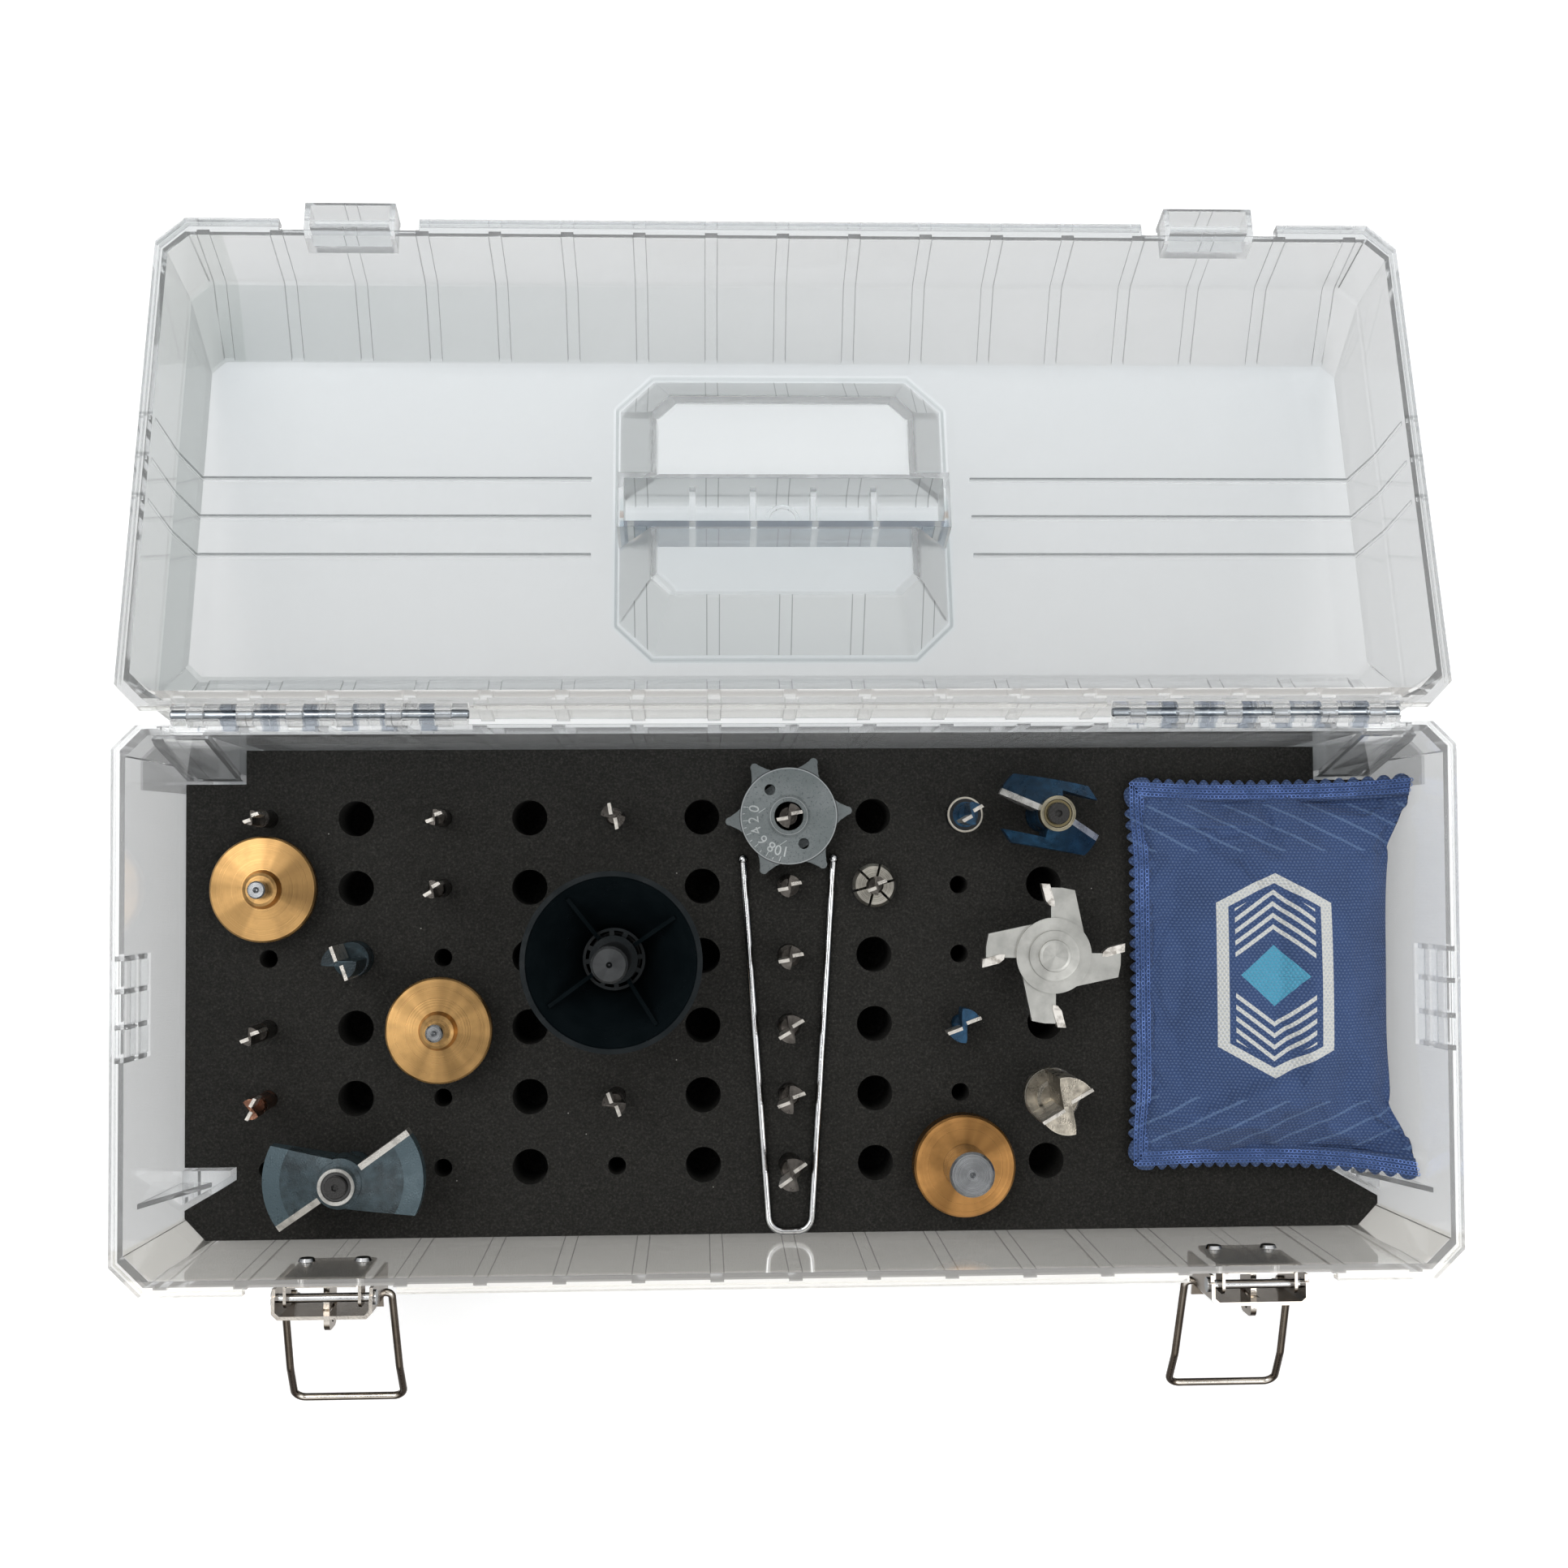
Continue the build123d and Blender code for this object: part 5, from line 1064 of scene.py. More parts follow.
def knurl_part(context, half, tall, proud):
    """One raised diamond of a knurl; its point faces out of the rim."""
    mesh = bmesh.new()
    base = [mesh.verts.new(Vector(place) * MM) for place in (
        (-half, 0.12, 0), (0, 0.12, -tall), (half, 0.12, 0), (0, 0.12, tall))]
    point = mesh.verts.new(Vector((0, -proud, 0)) * MM)
    mesh.faces.new(base)
    for i in range(4):
        mesh.faces.new((base[i], point, base[(i + 1) % 4]))
    return part_object(context, "knurl", mesh)


def bar_part(context, half, deep, tall):
    """A short bar across the path, slightly narrower at its top."""
    mesh = bmesh.new()
    corners = []
    for z, share in ((-tall, 1.0), (tall, 0.7)):
        for x, y in ((-half, -deep), (half, -deep), (half, deep), (-half, deep)):
            corners.append(mesh.verts.new(Vector((x * share, y, z)) * MM))
    for face in ((3, 2, 1, 0), (4, 5, 6, 7), (0, 1, 5, 4), (1, 2, 6, 5), (2, 3, 7, 6), (3, 0, 4, 7)):
        mesh.faces.new([corners[i] for i in face])
    return part_object(context, "bar", mesh)


# Pouch


def through(places, heights, share):
    """Cubic that passes through four heights at four shares of the width."""
    total = 0.0
    for i, (place, height) in enumerate(zip(places, heights)):
        weight = 1.0
        for j, other in enumerate(places):
            if j != i:
                weight *= (share - other) / (place - other)
        total += weight * height
    return total


def smooth(value):
    """Eases a share in and out between 0 and 1."""
    value = min(max(value, 0.0), 1.0)
    return value * value * (3 - 2 * value)


class PouchForm:
    """The filled pouch: its seam line and the heights of its two layers, in millimetres."""

    def __init__(self, settings):
        low, high = [corner / MM for corner in POUCH_BOX]
        self.left, self.right = low.x, high.x
        self.front, self.back = low.y, high.y
        self.border = settings.border / MM
        self.crown = settings.crown / MM
        self.rest = FOAM_TOP / MM + 0.9

    def sides(self, along):
        """Left seam and right fold at a share of the length, drawn in between the corners."""
        length = self.back - self.front
        from_corner = min(along, 1 - along) * length
        draw_right = 4.6 * smooth(from_corner / 26) + 0.5 * math.sin(along * 9.0)
        draw_left = 1.6 * smooth(from_corner / 30)
        return self.left + self.border + draw_left, self.right - 0.6 - draw_right

    def seam_height(self, across):
        """Height of the seam at a share of the width; its right end hangs on the case's end wall."""
        return through((0.0, 0.3, 0.68, 1.0), (LEFT_SEAM, 46.0, 52.5, RIGHT_END - 0.6), across)

    def point(self, across, along, upper):
        """A point of the upper or lower layer."""
        left, right = self.sides(along)
        x = left + (right - left) * across
        inset = self.border * (1 - 0.25 * abs(2 * across - 1) ** 3)
        y = self.front + inset + (self.back - self.front - 2 * inset) * along
        spread = 2 * along - 1
        fill = max(1 - abs(spread) ** 3, 0.0) ** 0.6
        right_z = RIGHT_END - RIGHT_SAG * (1 - spread ** 2)
        hang = self.rest + (1 - fill) * 7
        lift = self.crown * fill
        if upper:
            z = through(
                (0.0, 0.3, 0.72, 1.0),
                (LEFT_SEAM, hang + 2 + lift * 0.84, hang + 6 + lift * 0.86, right_z), across)
        else:
            z = through((0.0, 0.3, 0.62, 1.0), (LEFT_SEAM, hang, hang + 1, right_z), across)
            z = max(z, self.rest)
        swell = min(along, 1 - along) * (self.back - self.front) / 13.0
        z = self.seam_height(across) + (z - self.seam_height(across)) * smooth(swell) ** 0.7
        return Vector((x, y, z)) * MM


def pouch_layers(form, columns, rows):
    """Two layers of cloth joined round three seams and the right fold; gives the mesh and its seam points."""
    mesh = bmesh.new()
    grids = {}
    seam = []
    for upper in (True, False):
        grid = []
        for j in range(rows + 1):
            line = []
            for i in range(columns + 1):
                shared = j in (0, rows) or i in (0, columns)
                if shared and not upper:
                    line.append(grids[True][j][i])
                    continue
                point = mesh.verts.new(form.point(i / columns, j / rows, upper))
                line.append(point)
                if j in (0, rows) or i == 0:
                    seam.append(point)
            grid.append(line)
        grids[upper] = grid
    for upper, grid in grids.items():
        for j in range(rows):
            for i in range(columns):
                corners = [grid[j][i], grid[j][i + 1], grid[j + 1][i + 1], grid[j + 1][i]]
                mesh.faces.new(corners if upper else corners[::-1])
    mesh.verts.index_update()
    return mesh, [point.index for point in seam]


def swell_cloth(context, name, mesh, pinned, cap):
    """Runs the cloth over 20 frames with the seam pinned; gives the swollen points, capped."""
    data = bpy.data.meshes.new(name)
    mesh.to_mesh(data)
    piece = bpy.data.objects.new(name, data)
    context.scene.collection.objects.link(piece)
    start = [point.co.copy() for point in data.vertices]
    group = piece.vertex_groups.new(name="seam")
    group.add(pinned, 1.0, "REPLACE")
    cloth = piece.modifiers.new("swell", "CLOTH")
    values = cloth.settings
    values.quality = 6
    values.mass = 0.12
    values.tension_stiffness = 14
    values.compression_stiffness = 6
    values.shear_stiffness = 6
    values.bending_stiffness = 0.35
    values.shrink_min = -0.055
    values.use_pressure = True
    values.uniform_pressure_force = 3.6
    values.vertex_group_mass = "seam"
    values.effector_weights.gravity = 0.0
    cloth.collision_settings.use_collision = False
    cloth.point_cache.frame_start = 1
    cloth.point_cache.frame_end = 20
    for frame_number in range(1, 21):
        context.scene.frame_set(frame_number)
    depsgraph = context.evaluated_depsgraph_get()
    swollen = [point.co.copy() for point in piece.evaluated_get(depsgraph).data.vertices]
    piece.modifiers.remove(cloth)
    context.scene.frame_set(1)
    moved = []
    for before, after in zip(start, swollen):
        step = after - before
        if step.length > cap:
            step = step.normalized() * cap
        moved.append(before + step)
    return piece, moved


def border_point(form, side, share, out):
    """A point of the flat border: its side, its share of that side and its distance outside the seam."""
    away = max(out, 0.0)
    corner = math.copysign(max(abs(2 * share - 1) - 0.94, 0.0) / 0.06, share - 0.5) * away
    if side == "left":
        left = form.sides(share)[0]
        y = form.front + form.border + (form.back - form.front - 2 * form.border) * share
        place = Vector((left - out, y + corner, form.seam_height(0) - 0.25 * away))
    else:
        along = 1.0 if side == "back" else 0.0
        sign = 1 if side == "back" else -1
        left, right = form.sides(along)
        x = left + (right - left) * share + (corner if share < 0.5 else 0.3 * corner)
        seam = form.point(share, along, True) / MM
        place = Vector((x, seam.y + sign * out, form.seam_height(share) - 0.1 * away))
    ripple = noise.noise(Vector((place.x, place.y, 4.0)) * 0.11) * min(away / form.border, 1.0) * 1.1
    place.z = max(place.z + ripple, form.rest + 0.3)
    return place


def pouch_border(form, mesh, count):
    """Flat double border outside three seams, with a pinked edge of rounded teeth, made in steps."""
    sides = ((0, 0.9), (1, 0.75), (2, 0.45))
    for side in ("left", "back", "front"):
        length = (form.back - form.front) if side == "left" else (form.right - form.left)
        samples = round(length / TOOTH_PITCH) * count
        previous = None
        for k in range(samples + 1):
            tooth = abs(math.sin(math.pi * (k % count) / count)) ** 0.95
            reach = form.border - TOOTH_DEPTH * (1 - tooth)
            line = [border_point(form, side, k / samples, out)
                    for out in (-0.45 * form.border, 0.35 * reach, reach)]
            ring = [mesh.verts.new((line[i] + Vector((0, 0, thick))) * MM) for i, thick in sides]
            ring += [mesh.verts.new((line[i] - Vector((0, 0, thick))) * MM) for i, thick in reversed(sides)]
            if previous is None:
                mesh.faces.new(ring)
            else:
                for a in range(6):
                    b = (a + 1) % 6
                    mesh.faces.new((previous[a], previous[b], ring[b], ring[a]))
            previous = ring
        mesh.faces.new(previous[::-1])


def plan_map(mesh, centre):
    """A UV map in centimetres of plan, so a print and a weave follow the cloth."""
    layer = mesh.uv_layers.new(name="plan")
    for loop in mesh.loops:
        place = mesh.vertices[loop.vertex_index].co
        layer.data[loop.index].uv = ((place.x - centre.x) * 100, (place.y - centre.y) * 100)


class CaseSettings(bpy.types.PropertyGroup):
    """Colours of the case and its tools, the brass knurls and the dial's marks."""
    plastic_tint: bpy.props.FloatVectorProperty(
        name="Plastic Tint", description="Tint of the clear moulded shells", subtype="COLOR",
        size=3, min=0.0, max=1.0, default=(0.965, 0.972, 0.974))
    foam_colour: bpy.props.FloatVectorProperty(
        name="Foam", description="Colour of the foam insert", subtype="COLOR",
        size=3, min=0.0, max=1.0, default=(0.0205, 0.0200, 0.0178))
    brass_colour: bpy.props.FloatVectorProperty(
        name="Brass", description="Colour of the turned brass pieces", subtype="COLOR",
        size=3, min=0.0, max=1.0, default=(0.60, 0.355, 0.138))
    blue_colour: bpy.props.FloatVectorProperty(
        name="Cutter Blue", description="Coating of the blue cutters", subtype="COLOR",
        size=3, min=0.0, max=1.0, default=(0.013, 0.058, 0.118))
    pouch_colour: bpy.props.FloatVectorProperty(
        name="Pouch", description="Ground colour of the fabric pouch", subtype="COLOR",
        size=3, min=0.0, max=1.0, default=(0.046, 0.088, 0.222))
    knurl_teeth: bpy.props.IntProperty(
        name="Knurl Teeth", description="Diamonds round each brass rim", default=120)
    knurl_height: bpy.props.FloatProperty(
        name="Knurl Height", description="How far the diamonds stand out", unit="LENGTH", default=0.0003)
    dial_face: bpy.props.FloatProperty(
        name="Dial Face", description="Height of the dial's face above the foam",
        unit="LENGTH", default=0.0106)
    dial_start: bpy.props.FloatProperty(
        name="Dial Start", description="Angle of the zero in degrees", default=168.0)
    dial_turn: bpy.props.FloatProperty(name="Dial Turn", description="Degrees from zero to ten", default=90.0)


class PouchSettings(bpy.types.PropertyGroup):
    """Sizes of the pouch."""
    border: bpy.props.FloatProperty(
        name="Border", description="Width of the sewn border", unit="LENGTH", default=0.0056)
    crown: bpy.props.FloatProperty(
        name="Crown", description="How far the filling lifts the upper cloth", unit="LENGTH", default=0.027)
    stitch: bpy.props.FloatProperty(
        name="Stitch", description="Spacing of the loops along the border", unit="LENGTH", default=0.00145)
    columns: bpy.props.IntProperty(
        name="Columns", description="Cells of the cloth across the pouch", default=62)
    rows: bpy.props.IntProperty(name="Rows", description="Cells of the cloth along the pouch", default=92)


class StageSettings(bpy.types.PropertyGroup):
    """Floor, lamps and camera."""
    floor_size: bpy.props.FloatProperty(
        name="Floor Size", description="Width of the floor", unit="LENGTH", default=12.0)
    lamp_height: bpy.props.FloatProperty(
        name="Lamp Height", description="Height of the main lamp", unit="LENGTH", default=1.5)
    lamp_power: bpy.props.FloatProperty(
        name="Lamp Power", description="Power of the main lamp in watts", default=7.0)
    sky: bpy.props.FloatProperty(
        name="Sky", description="Brightness of the surrounding light", default=0.68)
    camera_place: bpy.props.FloatVectorProperty(
        name="Camera", description="Place of the camera", subtype="TRANSLATION", size=3,
        default=(-0.0318, 0.0507, 0.7841))
    camera_tilt: bpy.props.FloatVectorProperty(
        name="Camera Tilt", description="Turn of the camera in degrees", size=3, default=(2.0, -2.38, -0.34))
    camera_lens: bpy.props.FloatProperty(
        name="Lens", description="Focal length in millimetres on a 36 mm sensor", default=46.58)


class BITCASE_OT_finishes(bpy.types.Operator):
    """Give every CAD piece its finish"""
    bl_idname = "bitcase.finishes"
    bl_label = "Dress the CAD Pieces"

    def execute(self, context):
        settings = context.scene.bitcase_case
        groups = {
            "grain": made_once("Fine Grain", grain_group), "turning": turning_group(),
            "specks": speck_group(), "rib_edge_shade": painted_rib_shade_group(), "sectors": painted_sheen_group(),
            "plates": plate_group(), "tips": tip_group(), "recess": recess_group()}
        dress("base_shell", clear_plastic("clear_base", settings, groups, 0.0, 0.0, 1.0, 1.0))
        # The lid's darker walls and panel are painted shade
        dress("lid_shell", clear_plastic("clear_lid", settings, groups, LID_LEAN, 0.19, 0.87, 0.93))
        dress("foam_block", foam(settings, groups))
        nickel = metal("nickel", groups, (0.84, 0.78, 0.70), 0.05, 0.16, depth=0.1, bands=NICKEL_PAINTED_SHINE)
        bright = metal("bright_steel", groups, (0.80, 0.81, 0.82), 0.05, 0.15, depth=0.1, bands=STEEL_PAINTED_SHINE)
        pin = metal("hinge_steel", groups, (0.58, 0.63, 0.68), 0.05, 0.15, depth=0.1, bands=PIN_PAINTED_SHINE)
        for hand in ("left", "right"):
            for node in ("latch_plate", "latch_lever", "latch_bail"):
                dress(f"{node}_{hand}", nickel)
            dress(f"hinge_pin_{hand}", pin)
            for node in ("latch_rivets", "lever_pin"):
                dress(f"{node}_{hand}", bright)
        dress("wire_spanner", bright)
        blue = tuple(settings.blue_colour)
        steel = (0.115, 0.105, 0.095)
        teal = (0.026, 0.045, 0.055)
        bodies = {
            "bit_straight_half_inch": (teal, 0.45), "bit_straight_short": (blue, 0.45),
            "bit_straight_collared": (blue, 0.45), "bit_point": ((0.30, 0.15, 0.10), 1.0),
            "bit_large_silver": ((0.46, 0.42, 0.35), 1.0)}
        # Collars: inner radius, outer radius and colour; the cutter paints a highlight line just inside the
        # outer radius
        collars = {
            "bit_straight_collared": (4.55, 6.5, (0.014, 0.015, 0.016)),
            "bit_large_silver": (10.5, 10.6, (0.30, 0.22, 0.12))}
        for node, place in FLUTED.items():
            body, metallic = bodies.get(node, (steel, 1.0))
            collar = collars.get(node)
            dress(node, cutter(node, groups, body, place, metallic, collar=collar))
        dress("bit_panel_raiser", cutter(
            "slate_coating", groups, (0.040, 0.062, 0.073), (1, 5, 16.0, 28.0, 35), 0.3, (0.60, 0.58, 0.54),
            web=8.9, thickness=1.8, behind=0.56, band=21.5, screw=40.9))
        dress("bit_chamfer", cutter(
            "blue_coating", groups, blue, (9, 0, 6.0, 19.6, 152), 0.45, (0.80, 0.79, 0.76),
            web=6.1, thickness=1.8, behind=0.56, screw=32.4))
        dress("bearing_panel_raiser", bearing_finish(
            "bearing_raiser", groups, socket(1, 5), (0.74, 0.73, 0.69), (0.10, 0.10, 0.10)))
        dress("bearing_chamfer", bearing_finish(
            "bearing_chamfer", groups, socket(9, 0), (0.66, 0.60, 0.44), (0.30, 0.25, 0.14)))
        for node, column, row, turn in (
                ("brass_disc_left", 0, 1, 0.9), ("brass_disc_middle", 2, 3, 3.4), ("brass_knob", 8, 5, 2.2)):
            warm = 0.86 if node == "brass_knob" else 1.0
            brass = tuple(c * k for c, k in zip(settings.brass_colour, (1.0, warm, warm ** 2)))
            dress(node, metal(
                node, groups, brass, 0.24, 0.38, centre=socket(column, row), rings=1600.0, depth=0.3,
                sectors=0.85, turn=turn))
        for node, column, row in (
                ("brass_disc_left_pin", 0, 1), ("brass_disc_middle_pin", 2, 3), ("brass_knob_post", 8, 5)):
            dress(node, metal(
                node, groups, (0.33, 0.34, 0.35), 0.16, 0.34, centre=socket(column, row), sectors=0.35))
        silver = (0.56, 0.56, 0.53)
        dress("slot_cutter", slot_cutter_finish("slot_cutter", groups, silver))
        dress("slot_cutter_arbor", metal(
            "slot_arbor", groups, silver, 0.3, 0.5, centre=socket(9, 2), sectors=0.35))
        dress("collet", metal(
            "collet", groups, (0.60, 0.57, 0.50), 0.22, 0.4, centre=socket(7, 1), sectors=0.6))
        dress("centring_post", metal(
            "centring_post", groups, (0.075, 0.078, 0.08), 0.3, 0.5, centre=socket(4, 2), sectors=0.4))
        dress("centring_cone", coat(
            "black_plastic", groups, (0.0045, 0.0075, 0.009), 0.16, 0.28, depth=0.08,
            worn=(0.007, 0.011, 0.013), sheen=0.08, shine=0.36))
        dress("dial_bush", dial_finish(groups))
        return {"FINISHED"}


class BITCASE_OT_pouch(bpy.types.Operator):
    """Sew, fill and print the fabric pouch"""
    bl_idname = "bitcase.pouch"
    bl_label = "Make the Pouch"

    def execute(self, context):
        settings = context.scene.bitcase_pouch
        form = PouchForm(settings)
        mesh, seam = pouch_layers(form, settings.columns, settings.rows)
        trial, places = swell_cloth(context, "pouch_trial", mesh, seam, 6.0 * MM)
        floor = form.rest * MM
        mesh.verts.ensure_lookup_table()
        for point, place in zip(mesh.verts, places):
            point.co = place
            point.co.z = max(point.co.z, floor)
            point.co.x = min(max(point.co.x, (form.left + 0.5) * MM), (form.right + 1.0) * MM)
        bpy.data.objects.remove(trial)
        bmesh.ops.subdivide_edges(mesh, edges=mesh.edges[:], cuts=1, use_grid_fill=True)
        bmesh.ops.smooth_vert(
            mesh, verts=mesh.verts[:], factor=0.3, use_axis_x=True, use_axis_y=True, use_axis_z=True)
        pouch_border(form, mesh, 8)
        data = bpy.data.meshes.new("pouch_cloth")
        mesh.to_mesh(data)
        mesh.free()
        for face in data.polygons:
            face.use_smooth = True
        middle = Vector(((form.left + form.right) / 2, (form.front + form.back) / 2, 0)) * MM
        plan_map(data, middle)
        piece = bpy.data.objects.new("pouch_cloth", data)
        context.scene.collection.objects.link(piece)
        data.materials.append(fabric(context.scene.bitcase_case, {"weave": weave_group()}))
        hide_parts("pouch")
        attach(piece, "pouch")
        return {"FINISHED"}


class BITCASE_OT_stitches(bpy.types.Operator):
    """Sew two rows of loops along the pouch's border"""
    bl_idname = "bitcase.stitches"
    bl_label = "Sew the Pouch's Border"

    def execute(self, context):
        settings = context.scene.bitcase_pouch
        form = PouchForm(settings)
        group = made_once("Repeat Along Path", repeat_group)
        colour = tuple(c * 2.0 + 0.012 for c in context.scene.bitcase_case.pouch_colour)
        thread = coat(
            "thread", {"grain": made_once("Fine Grain", grain_group)}, colour, 0.7, 0.9, depth=0.5,
            coarse=900.0, worn=tuple(c * 2.2 + 0.06 for c in colour), sheen=0.0)
        loop = loop_part(context, settings.stitch / MM * 0.62, settings.stitch / MM * 0.44, 0.17)
        meshes = []
        for seed, out in enumerate((-0.6, 1.3, 3.1)):
            for side in ("left", "back", "front"):
                places = []
                for k in range(121):
                    place = border_point(form, side, k / 120, out)
                    place.z += 0.95 if out < 2 else 0.75
                    places.append(place * MM)
                length = sum((b - a).length for a, b in zip(places, places[1:]))
                path = path_object(context, "seam_path", places)
                count = round(length / settings.stitch)
                meshes.append(repeat_along(context, group, path, loop, count, thread, 0.82, seed + 3))
        bpy.data.objects.remove(loop)
        piece = joined_piece(context, "pouch_stitches", meshes, "pouch", thread)
        return {"FINISHED"}


class BITCASE_OT_knurls(bpy.types.Operator):
    """Cut a diamond knurl round each brass rim"""
    bl_idname = "bitcase.knurls"
    bl_label = "Knurl the Brass Rims"

    def execute(self, context):
        settings = context.scene.bitcase_case
        group = made_once("Repeat Along Path", repeat_group)
        # The knurls take a darker copy of the brass colour: painted shade among the diamonds
        brass = metal(
            "knurled_brass_shaded", {"grain": made_once("Fine Grain", grain_group)},
            tuple(c * 0.8 for c in settings.brass_colour), 0.25, 0.42, depth=0.3)
        rims = (
            ("knurl_left", 0, 1, 19.0, (8.5,), 1.75, "brass_disc_left_set"),
            ("knurl_middle", 2, 3, 19.0, (11.5,), 1.75, "brass_disc_middle_set"),
            ("knurl_knob", 8, 5, 18.4, (4.6, 7.2, 9.8), 1.35, "brass_knob_set"))
        for name, column, row, radius, heights, tall, body in rims:
            half = math.pi * radius / settings.knurl_teeth
            part = knurl_part(context, half, tall, settings.knurl_height / MM)
            meshes = []
            for index, height in enumerate(heights):
                turn = math.pi / settings.knurl_teeth * (index % 2)
                places = circle_places(
                    socket(column, row), radius, height, settings.knurl_teeth, turn, turn + 2 * math.pi)
                path = path_object(context, "rim_path", places, closed=True)
                meshes.append(repeat_along(context, group, path, part, settings.knurl_teeth, brass))
            bpy.data.objects.remove(part)
            joined_piece(context, name, meshes, body, brass, smooth_faces=False)
        return {"FINISHED"}


class BITCASE_OT_dial_marks(bpy.types.Operator):
    """Cast the dial's numbers and ticks"""
    bl_idname = "bitcase.dial_marks"
    bl_label = "Mark the Dial"

    def execute(self, context):
        settings = context.scene.bitcase_case
        group = made_once("Repeat Along Path", repeat_group)
        pale = coat(
            "dial_marks", {"grain": made_once("Fine Grain", grain_group)},
            (0.36, 0.38, 0.38), 0.4, 0.6, metallic=0.3)
        centre = socket(6, 0)
        face = settings.dial_face / MM
        start, end = (math.radians(settings.dial_start + settings.dial_turn * k) for k in (0, 1))
        meshes = []
        for count, first, last, radius, deep in (
                (6, start, end, 15.9, 0.95),
                (5, start + (end - start) / 10, end - (end - start) / 10, 16.4, 0.5),
                (2, start, end, 9.9, 1.5)):
            part = bar_part(context, 0.16, deep, 0.1)
            path = path_object(context, "tick_path", circle_places(centre, radius, face, 40, first, last))
            meshes.append(repeat_along(context, group, path, part, count, pale))
            bpy.data.objects.remove(part)
        for k in range(6):
            angle = start + (end - start) * k / 5
            text = bpy.data.curves.new("number", "FONT")
            text.body = str(2 * k)
            text.size = 5.4 * MM
            text.extrude = 0.1 * MM
            text.align_x = "CENTER"
            text.align_y = "CENTER"
            text.resolution_u = 3
            number = bpy.data.objects.new("number", text)
            context.scene.collection.objects.link(number)
            context.view_layer.update()
            data = bpy.data.meshes.new_from_object(number.evaluated_get(context.evaluated_depsgraph_get()))
            place = centre + Vector((12.7 * math.cos(angle), 12.7 * math.sin(angle), face)) * MM
            data.transform(Matrix.Translation(place) @ Matrix.Rotation(angle - math.pi / 2, 4, "Z"))
            bpy.data.objects.remove(number)
            meshes.append(data)
        joined_piece(context, "dial_marks", meshes, "dial_bush", pale, smooth_faces=False)
        return {"FINISHED"}


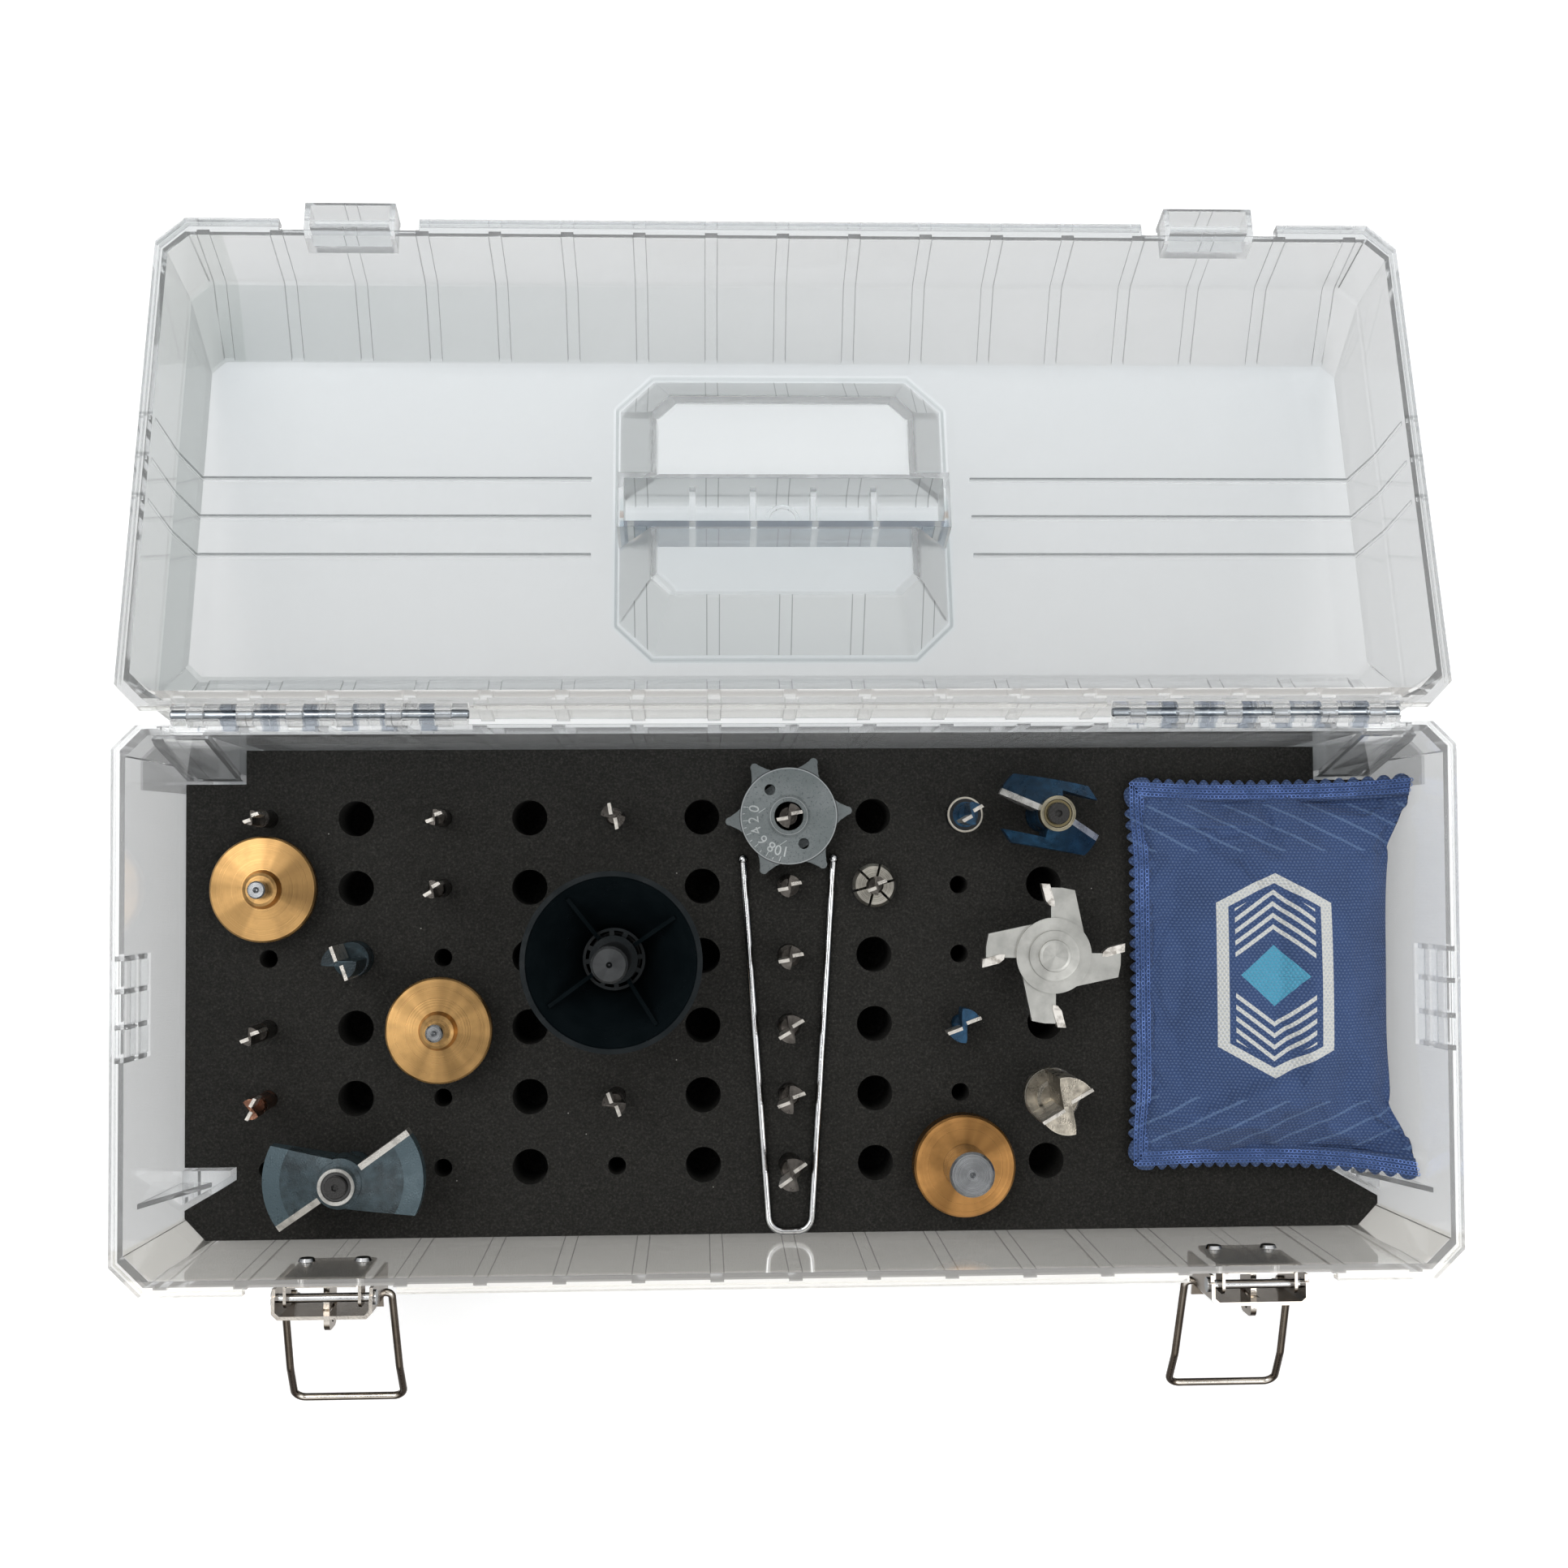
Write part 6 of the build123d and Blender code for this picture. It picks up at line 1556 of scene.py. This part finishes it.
class BITCASE_OT_stage(bpy.types.Operator):
    """Lay the floor and set up the lamps and the camera"""
    bl_idname = "bitcase.stage"
    bl_label = "Set the Stage"

    def execute(self, context):
        settings = context.scene.bitcase_stage
        half = settings.floor_size / 2
        mesh = bpy.data.meshes.new("floor")
        mesh.from_pydata(
            [(-half, -half, 0), (half, -half, 0), (half, half, 0), (-half, half, 0)], [], [(0, 1, 2, 3)])
        floor = bpy.data.objects.new("floor", mesh)
        context.scene.collection.objects.link(floor)
        floor.location.z = -0.0004
        material, add, join, shader = new_material("pale_floor")
        shader.inputs["Base Color"].default_value = (0.93, 0.93, 0.93, 1.0)
        shader.inputs["Roughness"].default_value = 0.9
        shader.inputs["Emission Color"].default_value = (1.0, 1.0, 1.0, 1.0)
        path = add("ShaderNodeLightPath")
        direct = math_node(add, join, "MULTIPLY", path.outputs["Is Camera Ray"], 0.34)
        refracted = math_node(add, join, "MULTIPLY", path.outputs["Is Transmission Ray"], 0.10)
        join(math_node(add, join, "ADD", direct, refracted), shader.inputs["Emission Strength"])
        mesh.materials.append(material)
        world = bpy.data.worlds.new("soft_sky")
        context.scene.world = world
        world.use_nodes = True
        add, join = links_of(world.node_tree)
        sky = world.node_tree.nodes["Background"]
        sky.inputs["Strength"].default_value = settings.sky
        direction = add("ShaderNodeSeparateXYZ")
        join(add("ShaderNodeTexCoord").outputs["Generated"], direction.inputs[0])
        dome = ramp_node(add, join, direction.outputs["Z"], [
            (0.0, (0.20, 0.205, 0.21)), (0.25, (0.48, 0.48, 0.48)), (0.55, (1.0, 1.0, 1.0)),
            (0.8, (1.25, 1.25, 1.25)), (0.955, (1.25, 1.25, 1.25)), (0.99, (0.30, 0.30, 0.30))])
        seen = add("ShaderNodeLightPath").outputs["Is Camera Ray"]
        join(mix_node(add, join, seen, dome, (1.4, 1.4, 1.4)), sky.inputs["Color"])
        lamps = (
            ("key_lamp", (-0.75, 0.45, settings.lamp_height), 1.0, settings.lamp_power),
            ("fill_lamp", (0.9, -0.35, settings.lamp_height), 0.9, settings.lamp_power * 0.5),
        )
        for name, place, size, power in lamps:
            lamp = bpy.data.lights.new(name, "AREA")
            lamp.shape = "SQUARE"
            lamp.size = size
            lamp.energy = power
            piece = bpy.data.objects.new(name, lamp)
            context.scene.collection.objects.link(piece)
            piece.location = place
            piece.rotation_euler = (Vector((0, 0.1, 0)) - Vector(place)).to_track_quat("-Z", "Y").to_euler()
        camera = bpy.data.cameras.new("camera")
        camera.lens = settings.camera_lens
        camera.sensor_width = 36.0
        camera.clip_start = 0.01
        view = bpy.data.objects.new("camera", camera)
        context.scene.collection.objects.link(view)
        view.location = settings.camera_place
        view.rotation_euler = [math.radians(a) for a in settings.camera_tilt]
        context.scene.camera = view
        context.scene.view_settings.view_transform = "Standard"
        return {"FINISHED"}


class BITCASE_PT_panel(bpy.types.Panel):
    """The build steps and the colours that a user would change"""
    bl_label = "Bit Case"
    bl_idname = "BITCASE_PT_panel"
    bl_space_type = "VIEW_3D"
    bl_region_type = "UI"
    bl_category = "Bit Case"

    def draw(self, context):
        for operator in OPERATORS:
            self.layout.operator(operator.bl_idname)
        for settings in (context.scene.bitcase_case, context.scene.bitcase_pouch,
                         context.scene.bitcase_stage):
            for name in settings.__annotations__:
                self.layout.prop(settings, name)


OPERATORS = (
    BITCASE_OT_stage, BITCASE_OT_finishes, BITCASE_OT_pouch, BITCASE_OT_stitches, BITCASE_OT_knurls,
    BITCASE_OT_dial_marks)
SETTINGS = (("bitcase_case", CaseSettings), ("bitcase_pouch", PouchSettings),
            ("bitcase_stage", StageSettings))


def register():
    """Registers the settings, the operators and the panel."""
    for name, settings in SETTINGS:
        bpy.utils.register_class(settings)
        setattr(bpy.types.Scene, name, bpy.props.PointerProperty(type=settings))
    for operator in OPERATORS:
        bpy.utils.register_class(operator)
    bpy.utils.register_class(BITCASE_PT_panel)


def unregister():
    """Takes the panel, the operators and the settings away again."""
    bpy.utils.unregister_class(BITCASE_PT_panel)
    for operator in reversed(OPERATORS):
        bpy.utils.unregister_class(operator)
    for name, settings in reversed(SETTINGS):
        delattr(bpy.types.Scene, name)
        bpy.utils.unregister_class(settings)


def main():
    """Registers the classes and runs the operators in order."""
    register()
    bpy.ops.bitcase.stage()
    bpy.ops.bitcase.finishes()
    bpy.ops.bitcase.pouch()
    bpy.ops.bitcase.stitches()
    bpy.ops.bitcase.knurls()
    bpy.ops.bitcase.dial_marks()


if __name__ == "__main__":
    main()
